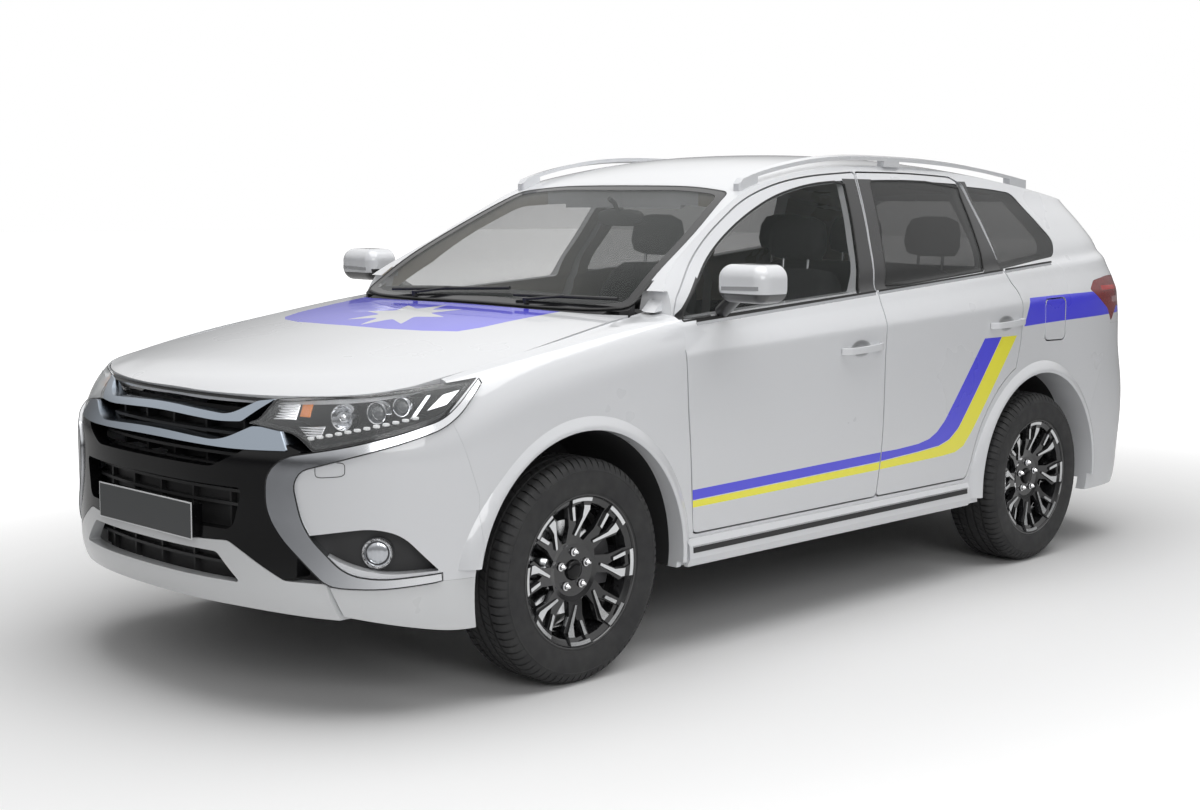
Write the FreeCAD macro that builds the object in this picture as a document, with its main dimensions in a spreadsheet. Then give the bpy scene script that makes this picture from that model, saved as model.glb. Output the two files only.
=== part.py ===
"""A five-door sport-utility patrol car, 4.7 m long, as an assembly of its real panels and running gear.

Frame: X points to the car's left, Y to its rear and Z up. The origin is on the ground under the middle of
the car's length. Every length is in millimetres.
"""
import FreeCAD
import Part
import math
import os
from FreeCAD import Placement, Rotation, Vector

doc = FreeCAD.newDocument("patrol_car")

# Driving dimensions
SIZES = {
    "overall_length": 4695,
    "body_width": 1800,
    "roof_height": 1672,
    "belt_height": 1139,
    "sill_height": 300,
    "wheelbase": 2670,
    "front_overhang": 985,
    "track_width": 1540,
    "tyre_radius": 352,
    "tyre_width": 225,
    "rim_radius": 241,
    "rim_width": 204,
    "hub_bore_radius": 33.5,
    "lug_circle": 114.3,
    "lug_hole_radius": 6.5,
    "lug_count": 5,
    "spoke_pairs": 8,
    "disc_radius": 148,
    "disc_thickness": 26,
    "arch_gap": 87,
    "flare_width": 58,
    "flare_stand": 14,
    "panel_gap": 6,
    "seam": 0.6,
    "side_depth": 118,
    "pillar_depth": 74,
    "door_depth": 62,
    "frame_depth": 34,
    "door_overlap": 26,
    "fascia_depth": 42,
    "wing_depth": 38,
    "bonnet_depth": 24,
    "roof_depth": 28,
    "tailgate_depth": 60,
    "glass_thickness": 5,
    "window_rebate": 9,
    "kingpin_offset": 70,
    "steering_wheel_radius": 185,
    "steering_wheel_grip": 15,
    "rail_height": 38,
    "seat_width": 520,
    "floor_thickness": 32,
    "engine_length": 520,
}
sheet = doc.addObject("Spreadsheet::Sheet", "sizes")
for row, (alias, value) in enumerate(SIZES.items(), 1):
    sheet.set(f"A{row}", alias)
    sheet.set(f"B{row}", str(value))
    sheet.setAlias(f"B{row}", alias)
doc.recompute()


def size(alias):
    """The value of one driving dimension, read from the spreadsheet."""
    return float(sheet.get(alias))


HALF_WIDTH = size("body_width") / 2
FRONT_END = -size("overall_length") / 2
REAR_END = size("overall_length") / 2
FRONT_AXLE = FRONT_END + size("front_overhang")
REAR_AXLE = FRONT_AXLE + size("wheelbase")
AXLE_HEIGHT = size("tyre_radius")
GAP = size("panel_gap")
SEAM = size("seam")

# The drawing grid: the outlines below are drawn at these stations, which the driving dimensions move.
STATIONS_Y = [(-2347.5, FRONT_END), (-1362.5, FRONT_AXLE), (1307.5, REAR_AXLE), (2347.5, REAR_END)]
STATIONS_Z = [(0.0, 0.0), (300.0, size("sill_height")), (1139.0, size("belt_height")),
              (1672.0, size("roof_height"))]
STATIONS_X = [(0.0, 0.0), (900.0, HALF_WIDTH)]


def between(table, value):
    """Straight-line reading of a table of (place, value) pairs, carried on past both ends."""
    for (a, fa), (b, fb) in zip(table, table[1:]):
        if value <= b:
            break
    return fa + (fb - fa) * (value - a) / (b - a)


def held(table, value):
    """The same reading, held level past both ends."""
    return between(table, min(max(value, table[0][0]), table[-1][0]))


def at(x, y, z):
    """A point of the drawing grid as a real point."""
    return Vector(between(STATIONS_X, abs(x)) * (1 if x >= 0 else -1), between(STATIONS_Y, y),
                  between(STATIONS_Z, z))


def skin(rows):
    """One smooth face through rows of drawing-grid points."""
    surface = Part.BSplineSurface()
    surface.interpolate([[at(*p) for p in row] for row in rows])
    return surface.toShape()


def closed(faces):
    """A solid bounded by faces that meet edge to edge."""
    sewn = Part.makeShell(faces)
    sewn.sewShape()
    solid = Part.makeSolid(sewn)
    if solid.Volume < 0:
        solid.reverse()
    return solid


def ends(edge):
    return edge.Vertexes[0].Point, edge.Vertexes[-1].Point


def flat(edges):
    """A flat face inside a ring of edges given in any order."""
    return Part.Face(Part.Wire(Part.__sortEdges__(edges)))


def edge_where(face, test):
    """The boundary edge of a face whose middle point passes a test."""
    found = [e for e in face.Edges if test(e.valueAt((e.FirstParameter + e.LastParameter) / 2))]
    return found[0]


def line(a, b):
    return Part.LineSegment(a, b).toShape()


def mirrored(shape):
    """The same shape on the car's right side."""
    return shape.mirror(Vector(0, 0, 0), Vector(1, 0, 0))


# Body surface from the front wing's end round the tail: rows from the sill up to the roof.
# Each row: height at the car's middle, rise per metre rearward, half width.
SIDE_ROWS = [
    (170, 0, 846), (215, 0, 864), (300, 0, 874), (390, 0, 872), (470, 0, 876), (600, 0, 883),
    (730, 5, 887), (850, 13, 888), (945, 29, 888), (1003, 38, 887), (1036, 43, 883), (1052, 45, 876),
    (1080, 50, 862), (1110, 57, 845), (1139, 62, 829), (1151, 62, 816), (1200, 55, 796), (1300, 40, 753),
    (1400, 20, 706), (1500, 0, 656), (1560, 0, 622), (1600, 0, 598), (1640, 0, 568), (1712, 0, 506),
]
SIDE_STATIONS = [-1100, -800, -450, -100, 300, 800, 1200, 1450]
CABIN_TAPER = [(1139, 0), (1500, 45), (1712, 55)]
SIDE_SKEW = 5e-6
TAIL_LINE = [
    (170, 2236), (215, 2282), (300, 2322), (400, 2342), (520, 2347.5), (640, 2345), (735, 2326), (800, 2298),
    (900, 2287), (1000, 2281), (1100, 2264), (1180, 2238), (1300, 2184), (1400, 2132), (1500, 2074),
    (1600, 2008), (1712, 1928),
]
TAIL_CORNER = [(170, 430), (1100, 440), (1600, 330), (1712, 300)]
TAIL_ROUNDNESS = 2.6
CORNER_STEPS = [0.995, 0.97, 0.92, 0.84, 0.72, 0.55, 0.36, 0.18]


def corner(share, roundness):
    """How far round a rounded corner, 0 to 1, for a share of its width."""
    return (1 - share ** roundness) ** (1 / roundness)


def side_row(base, rise, half, inset):
    """Left half of one row of the side and tail skin, from the front wing's end to the tail's middle."""
    points = []

    def height(y):
        return base + rise * y / 1000

    for y in SIDE_STATIONS:
        z = height(y)
        taper = held(CABIN_TAPER, z) * (max(0, 300 - y) / 600) ** 2
        points.append((half - SIDE_SKEW * (y - 100) ** 2 - taper - inset(z), y, z))
    corner_half = points[-1][0]
    for share in CORNER_STEPS + [0.0]:
        y_guess = 2000
        for _ in range(4):
            z = height(y_guess)
            depth = held(TAIL_CORNER, z)
            tail = held(TAIL_LINE, z) - inset(z)
            y_guess = tail - depth + depth * corner(share, TAIL_ROUNDNESS)
        points.append((corner_half * share, y_guess, height(y_guess)))
    return points


def side_block(inset):
    """The whole body behind the front wings as one block, its skin moved in by inset(height)."""
    rows = []
    for base, rise, half in SIDE_ROWS:
        left = side_row(base, rise, half, inset)
        rows.append(left + [(-x, y, z) for x, y, z in reversed(left[:-1])])
    skin_face = skin(rows)
    front = between(STATIONS_Y, SIDE_STATIONS[0])
    low = between(STATIONS_Z, SIDE_ROWS[0][0])
    high = between(STATIONS_Z, SIDE_ROWS[-1][0])
    left_end = edge_where(skin_face, lambda p: abs(p.y - front) < 1 and p.x > 0)
    right_end = edge_where(skin_face, lambda p: abs(p.y - front) < 1 and p.x < 0)
    bottom = edge_where(skin_face, lambda p: abs(p.z - low) < 1)
    top = edge_where(skin_face, lambda p: abs(p.z - high) < 1)
    low_line = line(*ends(bottom))
    high_line = line(*ends(top))
    return closed([skin_face, flat([bottom, low_line]), flat([top, high_line]),
                   flat([left_end, right_end, low_line, high_line])])


# Body surface of the nose and front wings: rows from the chin up to the bonnet's edge.
NOSE_ROWS = [(170, 846, 150), (215, 864, 100), (300, 874, 32), (345, 876, 9), (400, 876, 0), (480, 878, 3),
             (560, 881, 8), (640, 885, 10), (700, 887, 11)]
NOSE_ROUNDNESS = 2.45
NOSE_CORNER = 650
NOSE_SHOULDER_DROPS = [110, 65, 30, 8, 0]
NOSE_SHOULDER_FRONT = [0.24, 0.47, 0.74, 0.93, 1.0]
NOSE_SHOULDER_SIDE = [0.07, 0.21, 0.42, 0.70, 1.0]
NOSE_SHOULDER_POST = [0.02, 0.08, 0.18, 0.48, 1.0]
FRONT_STATION = -2347.5
COLLAR_TOP = 1300
# The bonnet's edge, from the middle of the nose round to the left windscreen post.
BONNET_EDGE = [
    (0, -2240, 913), (140, -2236, 913.5), (275, -2220, 915), (405, -2192, 918), (515, -2154, 921),
    (602, -2110, 926), (668, -2062, 932), (714, -2012, 939), (746, -1940, 950), (764, -1830, 972),
    (770, -1650, 1008), (766, -1500, 1034), (757, -1362, 1056), (742, -1230, 1077), (722, -1100, 1097),
    (700, -975, 1114), (678, -850, 1130),
]
NOSE_SHARES = [0.0, 0.17, 0.33, 0.49, 0.63, 0.75, 0.85, 0.925, 0.972, 0.996]
WING_STATIONS = [-1640, -1500, -1362, -1230, -1100, -975, -850]


def nose_block(inset):
    """The nose and both front wings as one block, open at the top inside the bonnet's edge."""
    left = []
    count = len(NOSE_SHARES) + len(WING_STATIONS)
    for k in range(count):
        edge_x, edge_y, edge_z = BONNET_EDGE[k]
        side_share = min(1.0, max(0.0, (k - 4) / 6))
        if k < len(NOSE_SHARES):
            inward_x = NOSE_SHARES[k]
        else:
            inward_x = 1.0
        inward_y = 1.0 - inward_x ** 3
        edge_in = (edge_x - inset * inward_x, edge_y + inset * inward_y, edge_z - inset)
        column = []

        def base_point(half, back):
            width = half - inset
            if k < len(NOSE_SHARES):
                set_back = back + inset
                round_part = (NOSE_CORNER - set_back) * (1 - corner(NOSE_SHARES[k], NOSE_ROUNDNESS))
                return width * NOSE_SHARES[k], FRONT_STATION + set_back + round_part
            y = WING_STATIONS[k - len(NOSE_SHARES)]
            return width - SIDE_SKEW * (y - 100) ** 2 * max(0.0, (y + 1640) / 790), y

        for z, half, back in NOSE_ROWS:
            x, y = base_point(half, back)
            column.append((x, y, z if z > 170 else 170))
        x, y = base_point(888, 14)
        last = NOSE_ROWS[-1][0]
        column.append((x, y, (last + edge_in[2] - NOSE_SHOULDER_DROPS[0]) / 2))
        post_share = max(0.0, (k - 10) / (count - 11))
        for drop, r_front, r_side, r_post in zip(NOSE_SHOULDER_DROPS, NOSE_SHOULDER_FRONT,
                                                 NOSE_SHOULDER_SIDE, NOSE_SHOULDER_POST):
            ratio = r_front + (r_side - r_front) * side_share + (r_post - r_side) * post_share
            column.append((x + (edge_in[0] - x) * ratio, y + (edge_in[1] - y) * ratio, edge_in[2] - drop))
        left.append(column)
    rows = []
    for j in range(len(left[0])):
        half_row = [column[j] for column in left]
        rows.append([(-x, y, z) for x, y, z in reversed(half_row[1:])] + half_row)
    skin_face = skin(rows)
    back = between(STATIONS_Y, WING_STATIONS[-1])
    low = between(STATIONS_Z, 170)
    high = between(STATIONS_Z, COLLAR_TOP)
    left_end = edge_where(skin_face, lambda p: abs(p.y - back) < 1 and p.x > 0)
    right_end = edge_where(skin_face, lambda p: abs(p.y - back) < 1 and p.x < 0)
    bottom = edge_where(skin_face, lambda p: abs(p.z - low) < 1)
    top = [e for e in skin_face.Edges
           if not any(e.isSame(other) for other in (left_end, right_end, bottom))][0]
    raised_curve = top.Curve.copy()
    for pole in range(1, raised_curve.NbPoles + 1):
        place = raised_curve.getPole(pole)
        raised_curve.setPole(pole, Vector(place.x, place.y, high))
    raised = raised_curve.toShape(top.FirstParameter, top.LastParameter)
    collar = Part.makeRuledSurface(top, raised)
    low_line = line(*ends(bottom))
    high_line = line(*ends(raised))
    top_a, top_b = ends(top)
    raised_a, raised_b = ends(raised)
    posts = [line(top_a, raised_a), line(top_b, raised_b)]
    back_face = flat([left_end, right_end, low_line, high_line] + posts)
    return closed([skin_face, collar, flat([bottom, low_line]), flat([raised, high_line]), back_face])




# Outlines are lists of corners; a corner with a third number is rounded over that length of each edge,
# any other corner is rounded over nearly half of its shorter edge, so that a curve runs smoothly.
def ring(points, place):
    """A closed wire through rounded corners; place turns a drawn pair into a point."""
    flat_points = [place(p[0], p[1]) for p in points]
    count = len(points)
    corners = []
    for i in range(count):
        here = flat_points[i]
        before = flat_points[i - 1]
        after = flat_points[(i + 1) % count]
        shorter = min(here.distanceToPoint(before), here.distanceToPoint(after))
        length = points[i][2] if len(points[i]) > 2 else shorter * 0.47
        into = (before - here).normalize()
        out = (after - here).normalize()
        start = here + into * length
        end = here + out * length
        turn = into.getAngle(out)
        if length < 0.01 or turn > math.pi - 0.004:
            corners.append((here, here, None))
            continue
        half_chord = (start + end) * 0.5
        radius = length * math.tan(turn / 2)
        centre = here + (half_chord - here).normalize() * (radius / math.sin(turn / 2))
        middle = centre + (here - centre).normalize() * radius
        corners.append((start, end, middle))
    edges = []
    for i in range(count):
        start, end, middle = corners[i]
        if middle is not None:
            edges.append(Part.Arc(start, middle, end).toShape())
        following = corners[(i + 1) % count][0]
        if end.distanceToPoint(following) > 0.01:
            edges.append(line(end, following))
    return Part.Wire(edges)


def grown(points, distance):
    """The same outline with every side moved out by a distance, or in where it is negative."""
    count = len(points)
    area = sum(points[i - 1][0] * points[i][1] - points[i][0] * points[i - 1][1] for i in range(count))
    outward = 1 if area > 0 else -1
    result = []
    for i in range(count):
        (ax, ay), (bx, by), (cx, cy) = (points[i - 1][:2], points[i][:2], points[(i + 1) % count][:2])
        ux, uy = bx - ax, by - ay
        vx, vy = cx - bx, cy - by
        ul, vl = math.hypot(ux, uy), math.hypot(vx, vy)
        nx, ny = (uy / ul + vy / vl) * outward, (-ux / ul - vx / vl) * outward
        scale = distance * 2 / (nx * nx + ny * ny)
        result.append((bx + nx * scale, by + ny * scale) + tuple(points[i][2:]))
    return result


def side_plan(points, grow=0):
    """The face of an outline drawn in the side view as (y, z) pairs."""
    return Part.Face(ring(grown(points, grow), lambda y, z: at(0, y, z)))


def front_plan(points, grow=0):
    """The face of an outline drawn in the front view as (x, z) pairs."""
    return Part.Face(ring(grown(points, grow), lambda x, z: at(x, 0, z)))


def top_plan(points, grow=0):
    """The face of an outline drawn from above as (x, y) pairs."""
    return Part.Face(ring(grown(points, grow), lambda x, y: Vector(at(x, y, 0).x, at(x, y, 0).y, 0)))


def along_x(face, low, high):
    moved = face.copy()
    moved.translate(Vector(low, 0, 0))
    return moved.extrude(Vector(high - low, 0, 0))


def along_y(face, low, high):
    moved = face.copy()
    moved.translate(Vector(0, low - face.BoundBox.YMin, 0))
    return moved.extrude(Vector(0, high - low, 0))


def along_z(face, low, high):
    moved = face.copy()
    moved.translate(Vector(0, 0, low))
    return moved.extrude(Vector(0, 0, high - low))


def block(x0, x1, y0, y1, z0, z1):
    return Part.makeBox(x1 - x0, y1 - y0, z1 - z0, Vector(x0, y0, z0))


def rod(radius, a, b):
    return Part.makeCylinder(radius, (b - a).Length, a, b - a)



# Top surface of the cabin: windscreen, roof and spoiler. Middle line first, then the fall to each side.
ROOF_LINE = [
    (-1300, 996), (-1054, 1124), (-850, 1236), (-650, 1346), (-450, 1453), (-300, 1527), (-200, 1568),
    (-90, 1602), (80, 1640), (300, 1664), (560, 1672), (850, 1666), (1150, 1648), (1500, 1612), (1850, 1558),
    (2150, 1490), (2450, 1405),
]
ROOF_FALL = [(-1300, 20), (-700, 5), (-330, 8), (0, 36), (500, 48), (1500, 46), (2450, 40)]
ROOF_SHARES = [0.0, 200, 380, 520, 640, 760, 900]


def top_height(x, y, middle):
    return middle - held(ROOF_FALL, y) * (abs(x) / 580) ** 2.4


def top_skin(drop):
    rows = []
    for y, middle in ROOF_LINE:
        half = [(x, y, top_height(x, y, middle) - drop) for x in ROOF_SHARES]
        rows.append([(-x, y0, z) for x, y0, z in reversed(half[1:])] + half)
    return skin(rows)


def below_top(drop):
    """Everything under the cabin's top surface, which is moved down by a drop."""
    return top_skin(drop).extrude(Vector(0, 0, -3000))


def side_inset(low, high):
    """An inset that changes from the doors' thickness below the belt to the frames' above it."""
    return lambda z: held([(1100, low), (1215, high)], z)


def cabin_block(low, high, drop):
    return side_block(side_inset(low, high)).common(below_top(drop))


SIDE_DEPTH = size("side_depth")
PILLAR_DEPTH = size("pillar_depth")
DOOR_DEPTH = size("door_depth")
FRAME_DEPTH = size("frame_depth")
outer = cabin_block(0, 0, 0)
door_inner = cabin_block(DOOR_DEPTH, FRAME_DEPTH, FRAME_DEPTH)
pocket_inner = cabin_block(DOOR_DEPTH + GAP, FRAME_DEPTH + GAP, FRAME_DEPTH + GAP)
body_inner = cabin_block(SIDE_DEPTH, PILLAR_DEPTH, PILLAR_DEPTH)

# Side-view outlines (y, z) of the doors, windows, lamps and shut lines.
FRONT_DOOR = [(-846, 400, 18), (-892, 806), (-906, 1004), (-890, 1101), (-846, 1166, 20), (-591, 1349),
              (-307, 1496), (-109, 1553), (89, 1581), (355, 1598, 12), (287, 1375), (212, 1163),
              (203, 1085), (187, 948), (189, 583), (172, 404, 18)]
REAR_DOOR = [(172, 404, 18), (189, 583), (187, 948), (203, 1085), (212, 1163), (293, 1375), (366, 1598, 12),
             (700, 1600), (1010, 1589), (1072, 1552), (1077, 1280), (1100, 1185), (1152, 1120), (1150, 1001),
             (1130, 880), (1090, 770), (1000, 690), (900, 640), (780, 404, 18)]
FRONT_WINDOW = [(-836, 1102, 12), (-800, 1140, 12), (-563, 1310), (-372, 1412), (-158, 1498), (64, 1543),
                (262, 1556, 14), (190, 1340), (110, 1160, 14)]
REAR_WINDOW = [(293, 1176, 14), (370, 1360), (440, 1558, 14), (700, 1563), (1034, 1553, 14), (1006, 1400),
               (962, 1222, 14)]
QUARTER_WINDOW = [(1092, 1228, 14), (1110, 1400), (1112, 1543, 14), (1300, 1534), (1440, 1520, 40),
                  (1552, 1330, 30), (1521, 1272, 24)]
FUEL_DOOR = [(1337, 921, 25), (1337, 1092, 25), (1497, 1095, 25), (1497, 919, 25)]
TAIL_LAMP = [(1700, 1122, 8), (1745, 1160, 14), (1885, 1177, 30), (2400, 1178, 3), (2400, 1028, 3),
             (1955, 1044, 10), (1890, 979, 10), (1850, 1037, 12)]
BUMPER_SEAM = [(1700, 100, 2), (1745, 640, 2), (1800, 770, 20), (1880, 972, 2), (2420, 972, 2),
               (2420, 100, 2)]
REAR_OPENING = [(430, 1640, 30), (545, 1588, 50), (628, 1400), (690, 1180), (694, 1000), (680, 840),
                (590, 772)]


def whole(points):
    """A closed outline, in the front view or from above, from its left half."""
    return points + [(-p[0],) + tuple(p[1:]) for p in reversed(points)]


def half_solid(shape):
    """The part of a shape on the car's left side."""
    return shape.common(block(0.5, 1500, -3000, 3000, -50, 2500))


ARCH_RADIUS = AXLE_HEIGHT + size("arch_gap")
FLARE_RADIUS = ARCH_RADIUS + size("flare_width")
FRONT_HUB = Vector(0, FRONT_AXLE, AXLE_HEIGHT)
REAR_HUB = Vector(0, REAR_AXLE, AXLE_HEIGHT)


def drum(radius, hub, x0, x1):
    """A round block on an axle, between two distances from the car's middle."""
    return Part.makeCylinder(radius, x1 - x0, hub + Vector(x0, 0, 0), Vector(1, 0, 0))


def flare(hub, skin_x):
    """The lip that stands out round a wheel arch: a band turned about the axle."""
    stand = HALF_WIDTH
    section = [Vector(ARCH_RADIUS, 0, skin_x - 30), Vector(ARCH_RADIUS, 0, stand - 3)]
    lip = Part.BSplineCurve()
    lip.interpolate([section[1], Vector(ARCH_RADIUS + 4, 0, stand), Vector(ARCH_RADIUS + 24, 0, stand - 5),
                     Vector(ARCH_RADIUS + 44, 0, stand - 17), Vector(FLARE_RADIUS + 12, 0, skin_x - 30)])
    wire = Part.Wire([line(*section), lip.toShape(), line(Vector(FLARE_RADIUS + 12, 0, skin_x - 30),
                                                          section[0])])
    turned = Part.Face(wire).revolve(Vector(0, 0, 0), Vector(0, 0, 1), 360)
    turned.rotate(Vector(0, 0, 0), Vector(0, 1, 0), 90)
    turned.translate(Vector(0, hub.y, hub.z))
    return turned


SILL = size("sill_height")
OVERLAP = size("door_overlap")

outer_left = half_solid(outer)
shell = outer_left.cut(body_inner)
pocket_layer = outer_left.cut(pocket_inner)
door_layer = outer_left.cut(door_inner)

# Glass lies just inside the outer surface, its thickness deep, in a rebate.
GLASS = size("glass_thickness")
GLASS_SINK = 2.5
SKIN_DEPTH = GLASS_SINK + GLASS + SEAM
FASCIA_DEPTH = size("fascia_depth")
glass_face = cabin_block(GLASS_SINK, GLASS_SINK, GLASS_SINK)
glass_back = cabin_block(GLASS_SINK + GLASS, GLASS_SINK + GLASS, GLASS_SINK + GLASS)
glass_layer = half_solid(glass_face).cut(glass_back)
rebate_layer = outer_left.cut(cabin_block(SKIN_DEPTH, SKIN_DEPTH, SKIN_DEPTH))
fascia_layer = outer_left.cut(cabin_block(FASCIA_DEPTH, FRAME_DEPTH, FASCIA_DEPTH))

# Outlines from above (x, y), left half, of the windscreen and of the roof's seams.
SCREEN = [(330, -1040), (560, -1012), (690, -968, 30), (640, -620), (540, -300, 40), (350, -268)]
ROOF = [(350, -262), (530, -290, 20), (556, 0), (556, 800), (548, 1500), (530, 1868, 20)]
BONNET = [(x, y) for x, y, z in BONNET_EDGE[1:-2]] + [(708, -985, 8), (600, -1030), (350, -1066)]
WINDOW_REBATE = size("window_rebate")
FAR = 1200


def both_sides(shape):
    return Part.makeCompound([shape, mirrored(shape)])


def through_side(points, grow=0):
    return along_x(side_plan(points, grow), 300, FAR)


rear_arch_clear = drum(FLARE_RADIUS + 10, REAR_HUB, 0, FAR)
rear_arch_door = drum(FLARE_RADIUS + 10 + GAP, REAR_HUB, 0, FAR)
rear_arch_inner = drum(FLARE_RADIUS + 10 + OVERLAP, REAR_HUB, 0, FAR)

pieces = {}
parts = []


def add(label, shape):
    """One named piece of the car."""
    item = doc.addObject("Part::Feature", label)
    item.Label = label
    item.Shape = shape
    parts.append(item)
    return shape



SEAT = 0.3


def barrel(radius, a, b, arm):
    """A hinge knuckle along an axis from a to b, on the arm that carries it."""
    return rod(radius, a, b).fuse(arm)


# Doors: the skin layer inside each outline, with the window cut through and rebated for its glass.
door_front = door_layer.common(through_side(FRONT_DOOR, -GAP / 2))
top_room = along_z(top_plan(whole(SCREEN), 32), 900, 1800).fuse(along_z(top_plan(whole(ROOF), 32), 1200,
        1800))
door_front = door_front.cut([through_side(FRONT_WINDOW),
                             rebate_layer.common(through_side(FRONT_WINDOW, WINDOW_REBATE)),
                             top_room])
door_rear = door_layer.common(through_side(REAR_DOOR, -GAP / 2).cut(rear_arch_door))
door_rear = door_rear.cut([through_side(REAR_WINDOW),
                           rebate_layer.common(through_side(REAR_WINDOW, WINDOW_REBATE))])
pieces["door_front"] = door_front
pieces["door_rear"] = door_rear
pieces["glass_front"] = glass_layer.common(through_side(FRONT_WINDOW, WINDOW_REBATE - SEAM))
pieces["glass_rear"] = glass_layer.common(through_side(REAR_WINDOW, WINDOW_REBATE - SEAM))
glass_quarter = glass_layer.common(through_side(QUARTER_WINDOW, WINDOW_REBATE - SEAM))
glass_quarter = glass_quarter.cut(through_side(REAR_DOOR, GAP / 2))

# Body sides, from the hinge pillar to the tail.
HATCH_FRONT = 1872
TAIL_ONLY = block(-FAR, FAR, HATCH_FRONT + GAP / 2, 2600, -100, 2500)
TAIL_CUT = block(-FAR, FAR, HATCH_FRONT - GAP / 2 - 2, 2600, -100, 2500)
gate_inner_cut = along_y(front_plan(whole(REAR_OPENING), -OVERLAP), 1500, 2500)
gate_pocket = along_y(front_plan(whole(REAR_OPENING), GAP / 2), 1500, 2500)
screen_opening = along_z(top_plan(whole(SCREEN), -24), 900, 1800)
screen_rebate = along_z(top_plan(whole(SCREEN), SEAM), 900, 1800)
roof_opening = along_z(top_plan(whole(ROOF), SEAM), 1300, 1800)
under_sill = block(-FAR, FAR, -3000, 3000, -100, SILL)

pocket_limit = along_z(top_plan(whole(SCREEN), 20), 900, 1800).fuse(along_z(top_plan(whole(ROOF), 20),
        1200, 1800))
front_pocket = pocket_layer.common(through_side(FRONT_DOOR, GAP / 2)).cut(pocket_limit)
swing_room = through_side([(1000, 1595, 2), (1085, 1560, 10), (1090, 1400), (1082, 1290, 2),
                           (1050, 1290, 2)])
rear_pocket = pocket_layer.common(through_side(REAR_DOOR, GAP / 2).cut(rear_arch_clear).fuse(swing_room))
# The front wing laps over the hinge pillar as far as the door's front edge.
WING_LAP = [(-1300, 100, 2), (-1300, 1190, 2), (-868, 1190, 2), (-893, 1101, 2), (-909, 1004, 2),
            (-895, 806, 2), (-849, 400, 2), (-849, 100, 2)]
wing_lap = fascia_layer.common(through_side(WING_LAP, SEAM))
WING_END = [(-700, 1190, 2), (-868, 1190, 2), (-893, 1101, 2), (-909, 1004, 2), (-895, 806, 2),
            (-849, 400, 2),
            (-849, 100, 2), (-700, 100, 2)]
WING_DEPTH = size("wing_depth")
wing_layer = nose_block(-8).cut(nose_block(WING_DEPTH + SEAM))
wing_room = half_solid(wing_layer).common(block(0, FAR, -1000, -840, 100,
                                                1400)).cut(through_side(WING_END, -SEAM))
COWL = [(350, -1056, 2), (600, -1018, 2), (690, -972, 2), (690, -945, 2)]
cowl_room = along_z(top_plan(whole(COWL), SEAM), 1000, 1320)
body_side = shell.cut([
    through_side(FRONT_DOOR, -OVERLAP),
    through_side(REAR_DOOR, -OVERLAP).cut(rear_arch_inner),
    front_pocket, rear_pocket, wing_lap, wing_room, cowl_room, screen_opening, under_sill,
    block(-FAR, FAR, -1300, -985, -100, 2500),
])
rear_flare = flare(REAR_HUB, 880).common(block(780, 1000, REAR_AXLE - 600, REAR_AXLE + 600, SILL + 20, 1000))
body_side = body_side.cut([
    drum(ARCH_RADIUS, REAR_HUB, 500, 1000),
    through_side(QUARTER_WINDOW), rebate_layer.common(through_side(QUARTER_WINDOW, WINDOW_REBATE)),
    screen_rebate.common(rebate_layer),
    roof_opening,
    gate_inner_cut.common(TAIL_CUT),
    gate_pocket.common(TAIL_CUT).cut(cabin_block(66, 66, 66)),
])
body_side = body_side.fuse(rear_flare)
body_side = body_side.cut([
    through_side(TAIL_LAMP).common(fascia_layer),
    along_x(side_plan(BUMPER_SEAM), 0, FAR).common(fascia_layer),
])
body_side = max(body_side.Solids, key=lambda v: v.Volume)
pieces["body_side"] = body_side

# Tailgate: the layer inside the rear opening, with its window.
REAR_WINDOW_HALF = [(440, 1492, 40), (548, 1390), (640, 1180, 40)]
gate_block = outer.common(along_y(front_plan(whole(REAR_OPENING), -GAP / 2), 1500, 2500))
gate_block = gate_block.common(TAIL_ONLY)
tailgate = gate_block.cut(cabin_block(60, 60, 60))
gate_window = along_y(front_plan(whole(REAR_WINDOW_HALF)), 1600, 2500)
gate_rebate = along_y(front_plan(whole(REAR_WINDOW_HALF), WINDOW_REBATE), 1600, 2500)
rear_glass_layer = glass_face.common(TAIL_ONLY).cut(glass_back)
rear_glass = rear_glass_layer.common(along_y(front_plan(whole(REAR_WINDOW_HALF), WINDOW_REBATE - SEAM),
                                             1600, 2500))
skin_inner = cabin_block(SKIN_DEPTH, SKIN_DEPTH, SKIN_DEPTH)
gate_edge = along_y(front_plan(whole(REAR_OPENING), 60), 1500, 2500).cut(
    along_y(front_plan(whole(REAR_OPENING), -GAP / 2 - 36), 1500, 2500))
gate_edge = gate_edge.common(cabin_block(20, 20, 20)).common(block(-FAR, FAR, 1800, 2600, 600, 1506))
tailgate = tailgate.cut([gate_edge, gate_window,
                         gate_rebate.common(outer.common(TAIL_ONLY)).cut(skin_inner)])
GATE_HINGE = Vector(0, HATCH_FRONT + 2, 1548.5)
gate_arm = block(96, 134, HATCH_FRONT + 2, HATCH_FRONT + 14, 1545.5, 1550)
gate_barrel = barrel(3.8, GATE_HINGE + Vector(95, 0, 0), GATE_HINGE + Vector(135, 0, 0), gate_arm)
gate_notch = block(88, 142, HATCH_FRONT - 5, HATCH_FRONT + 9, 1480, 1600)
gate_lug = block(135 + SEAT, 140, HATCH_FRONT - 10, HATCH_FRONT + 5, 1542, 1551).fuse(
    block(90, 95 - SEAT, HATCH_FRONT - 10, HATCH_FRONT + 5, 1542, 1551))
tailgate = tailgate.cut(both_sides(gate_notch)).fuse([gate_barrel, mirrored(gate_barrel)])
pieces["tailgate"] = tailgate
pieces["rear_glass"] = rear_glass

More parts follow.
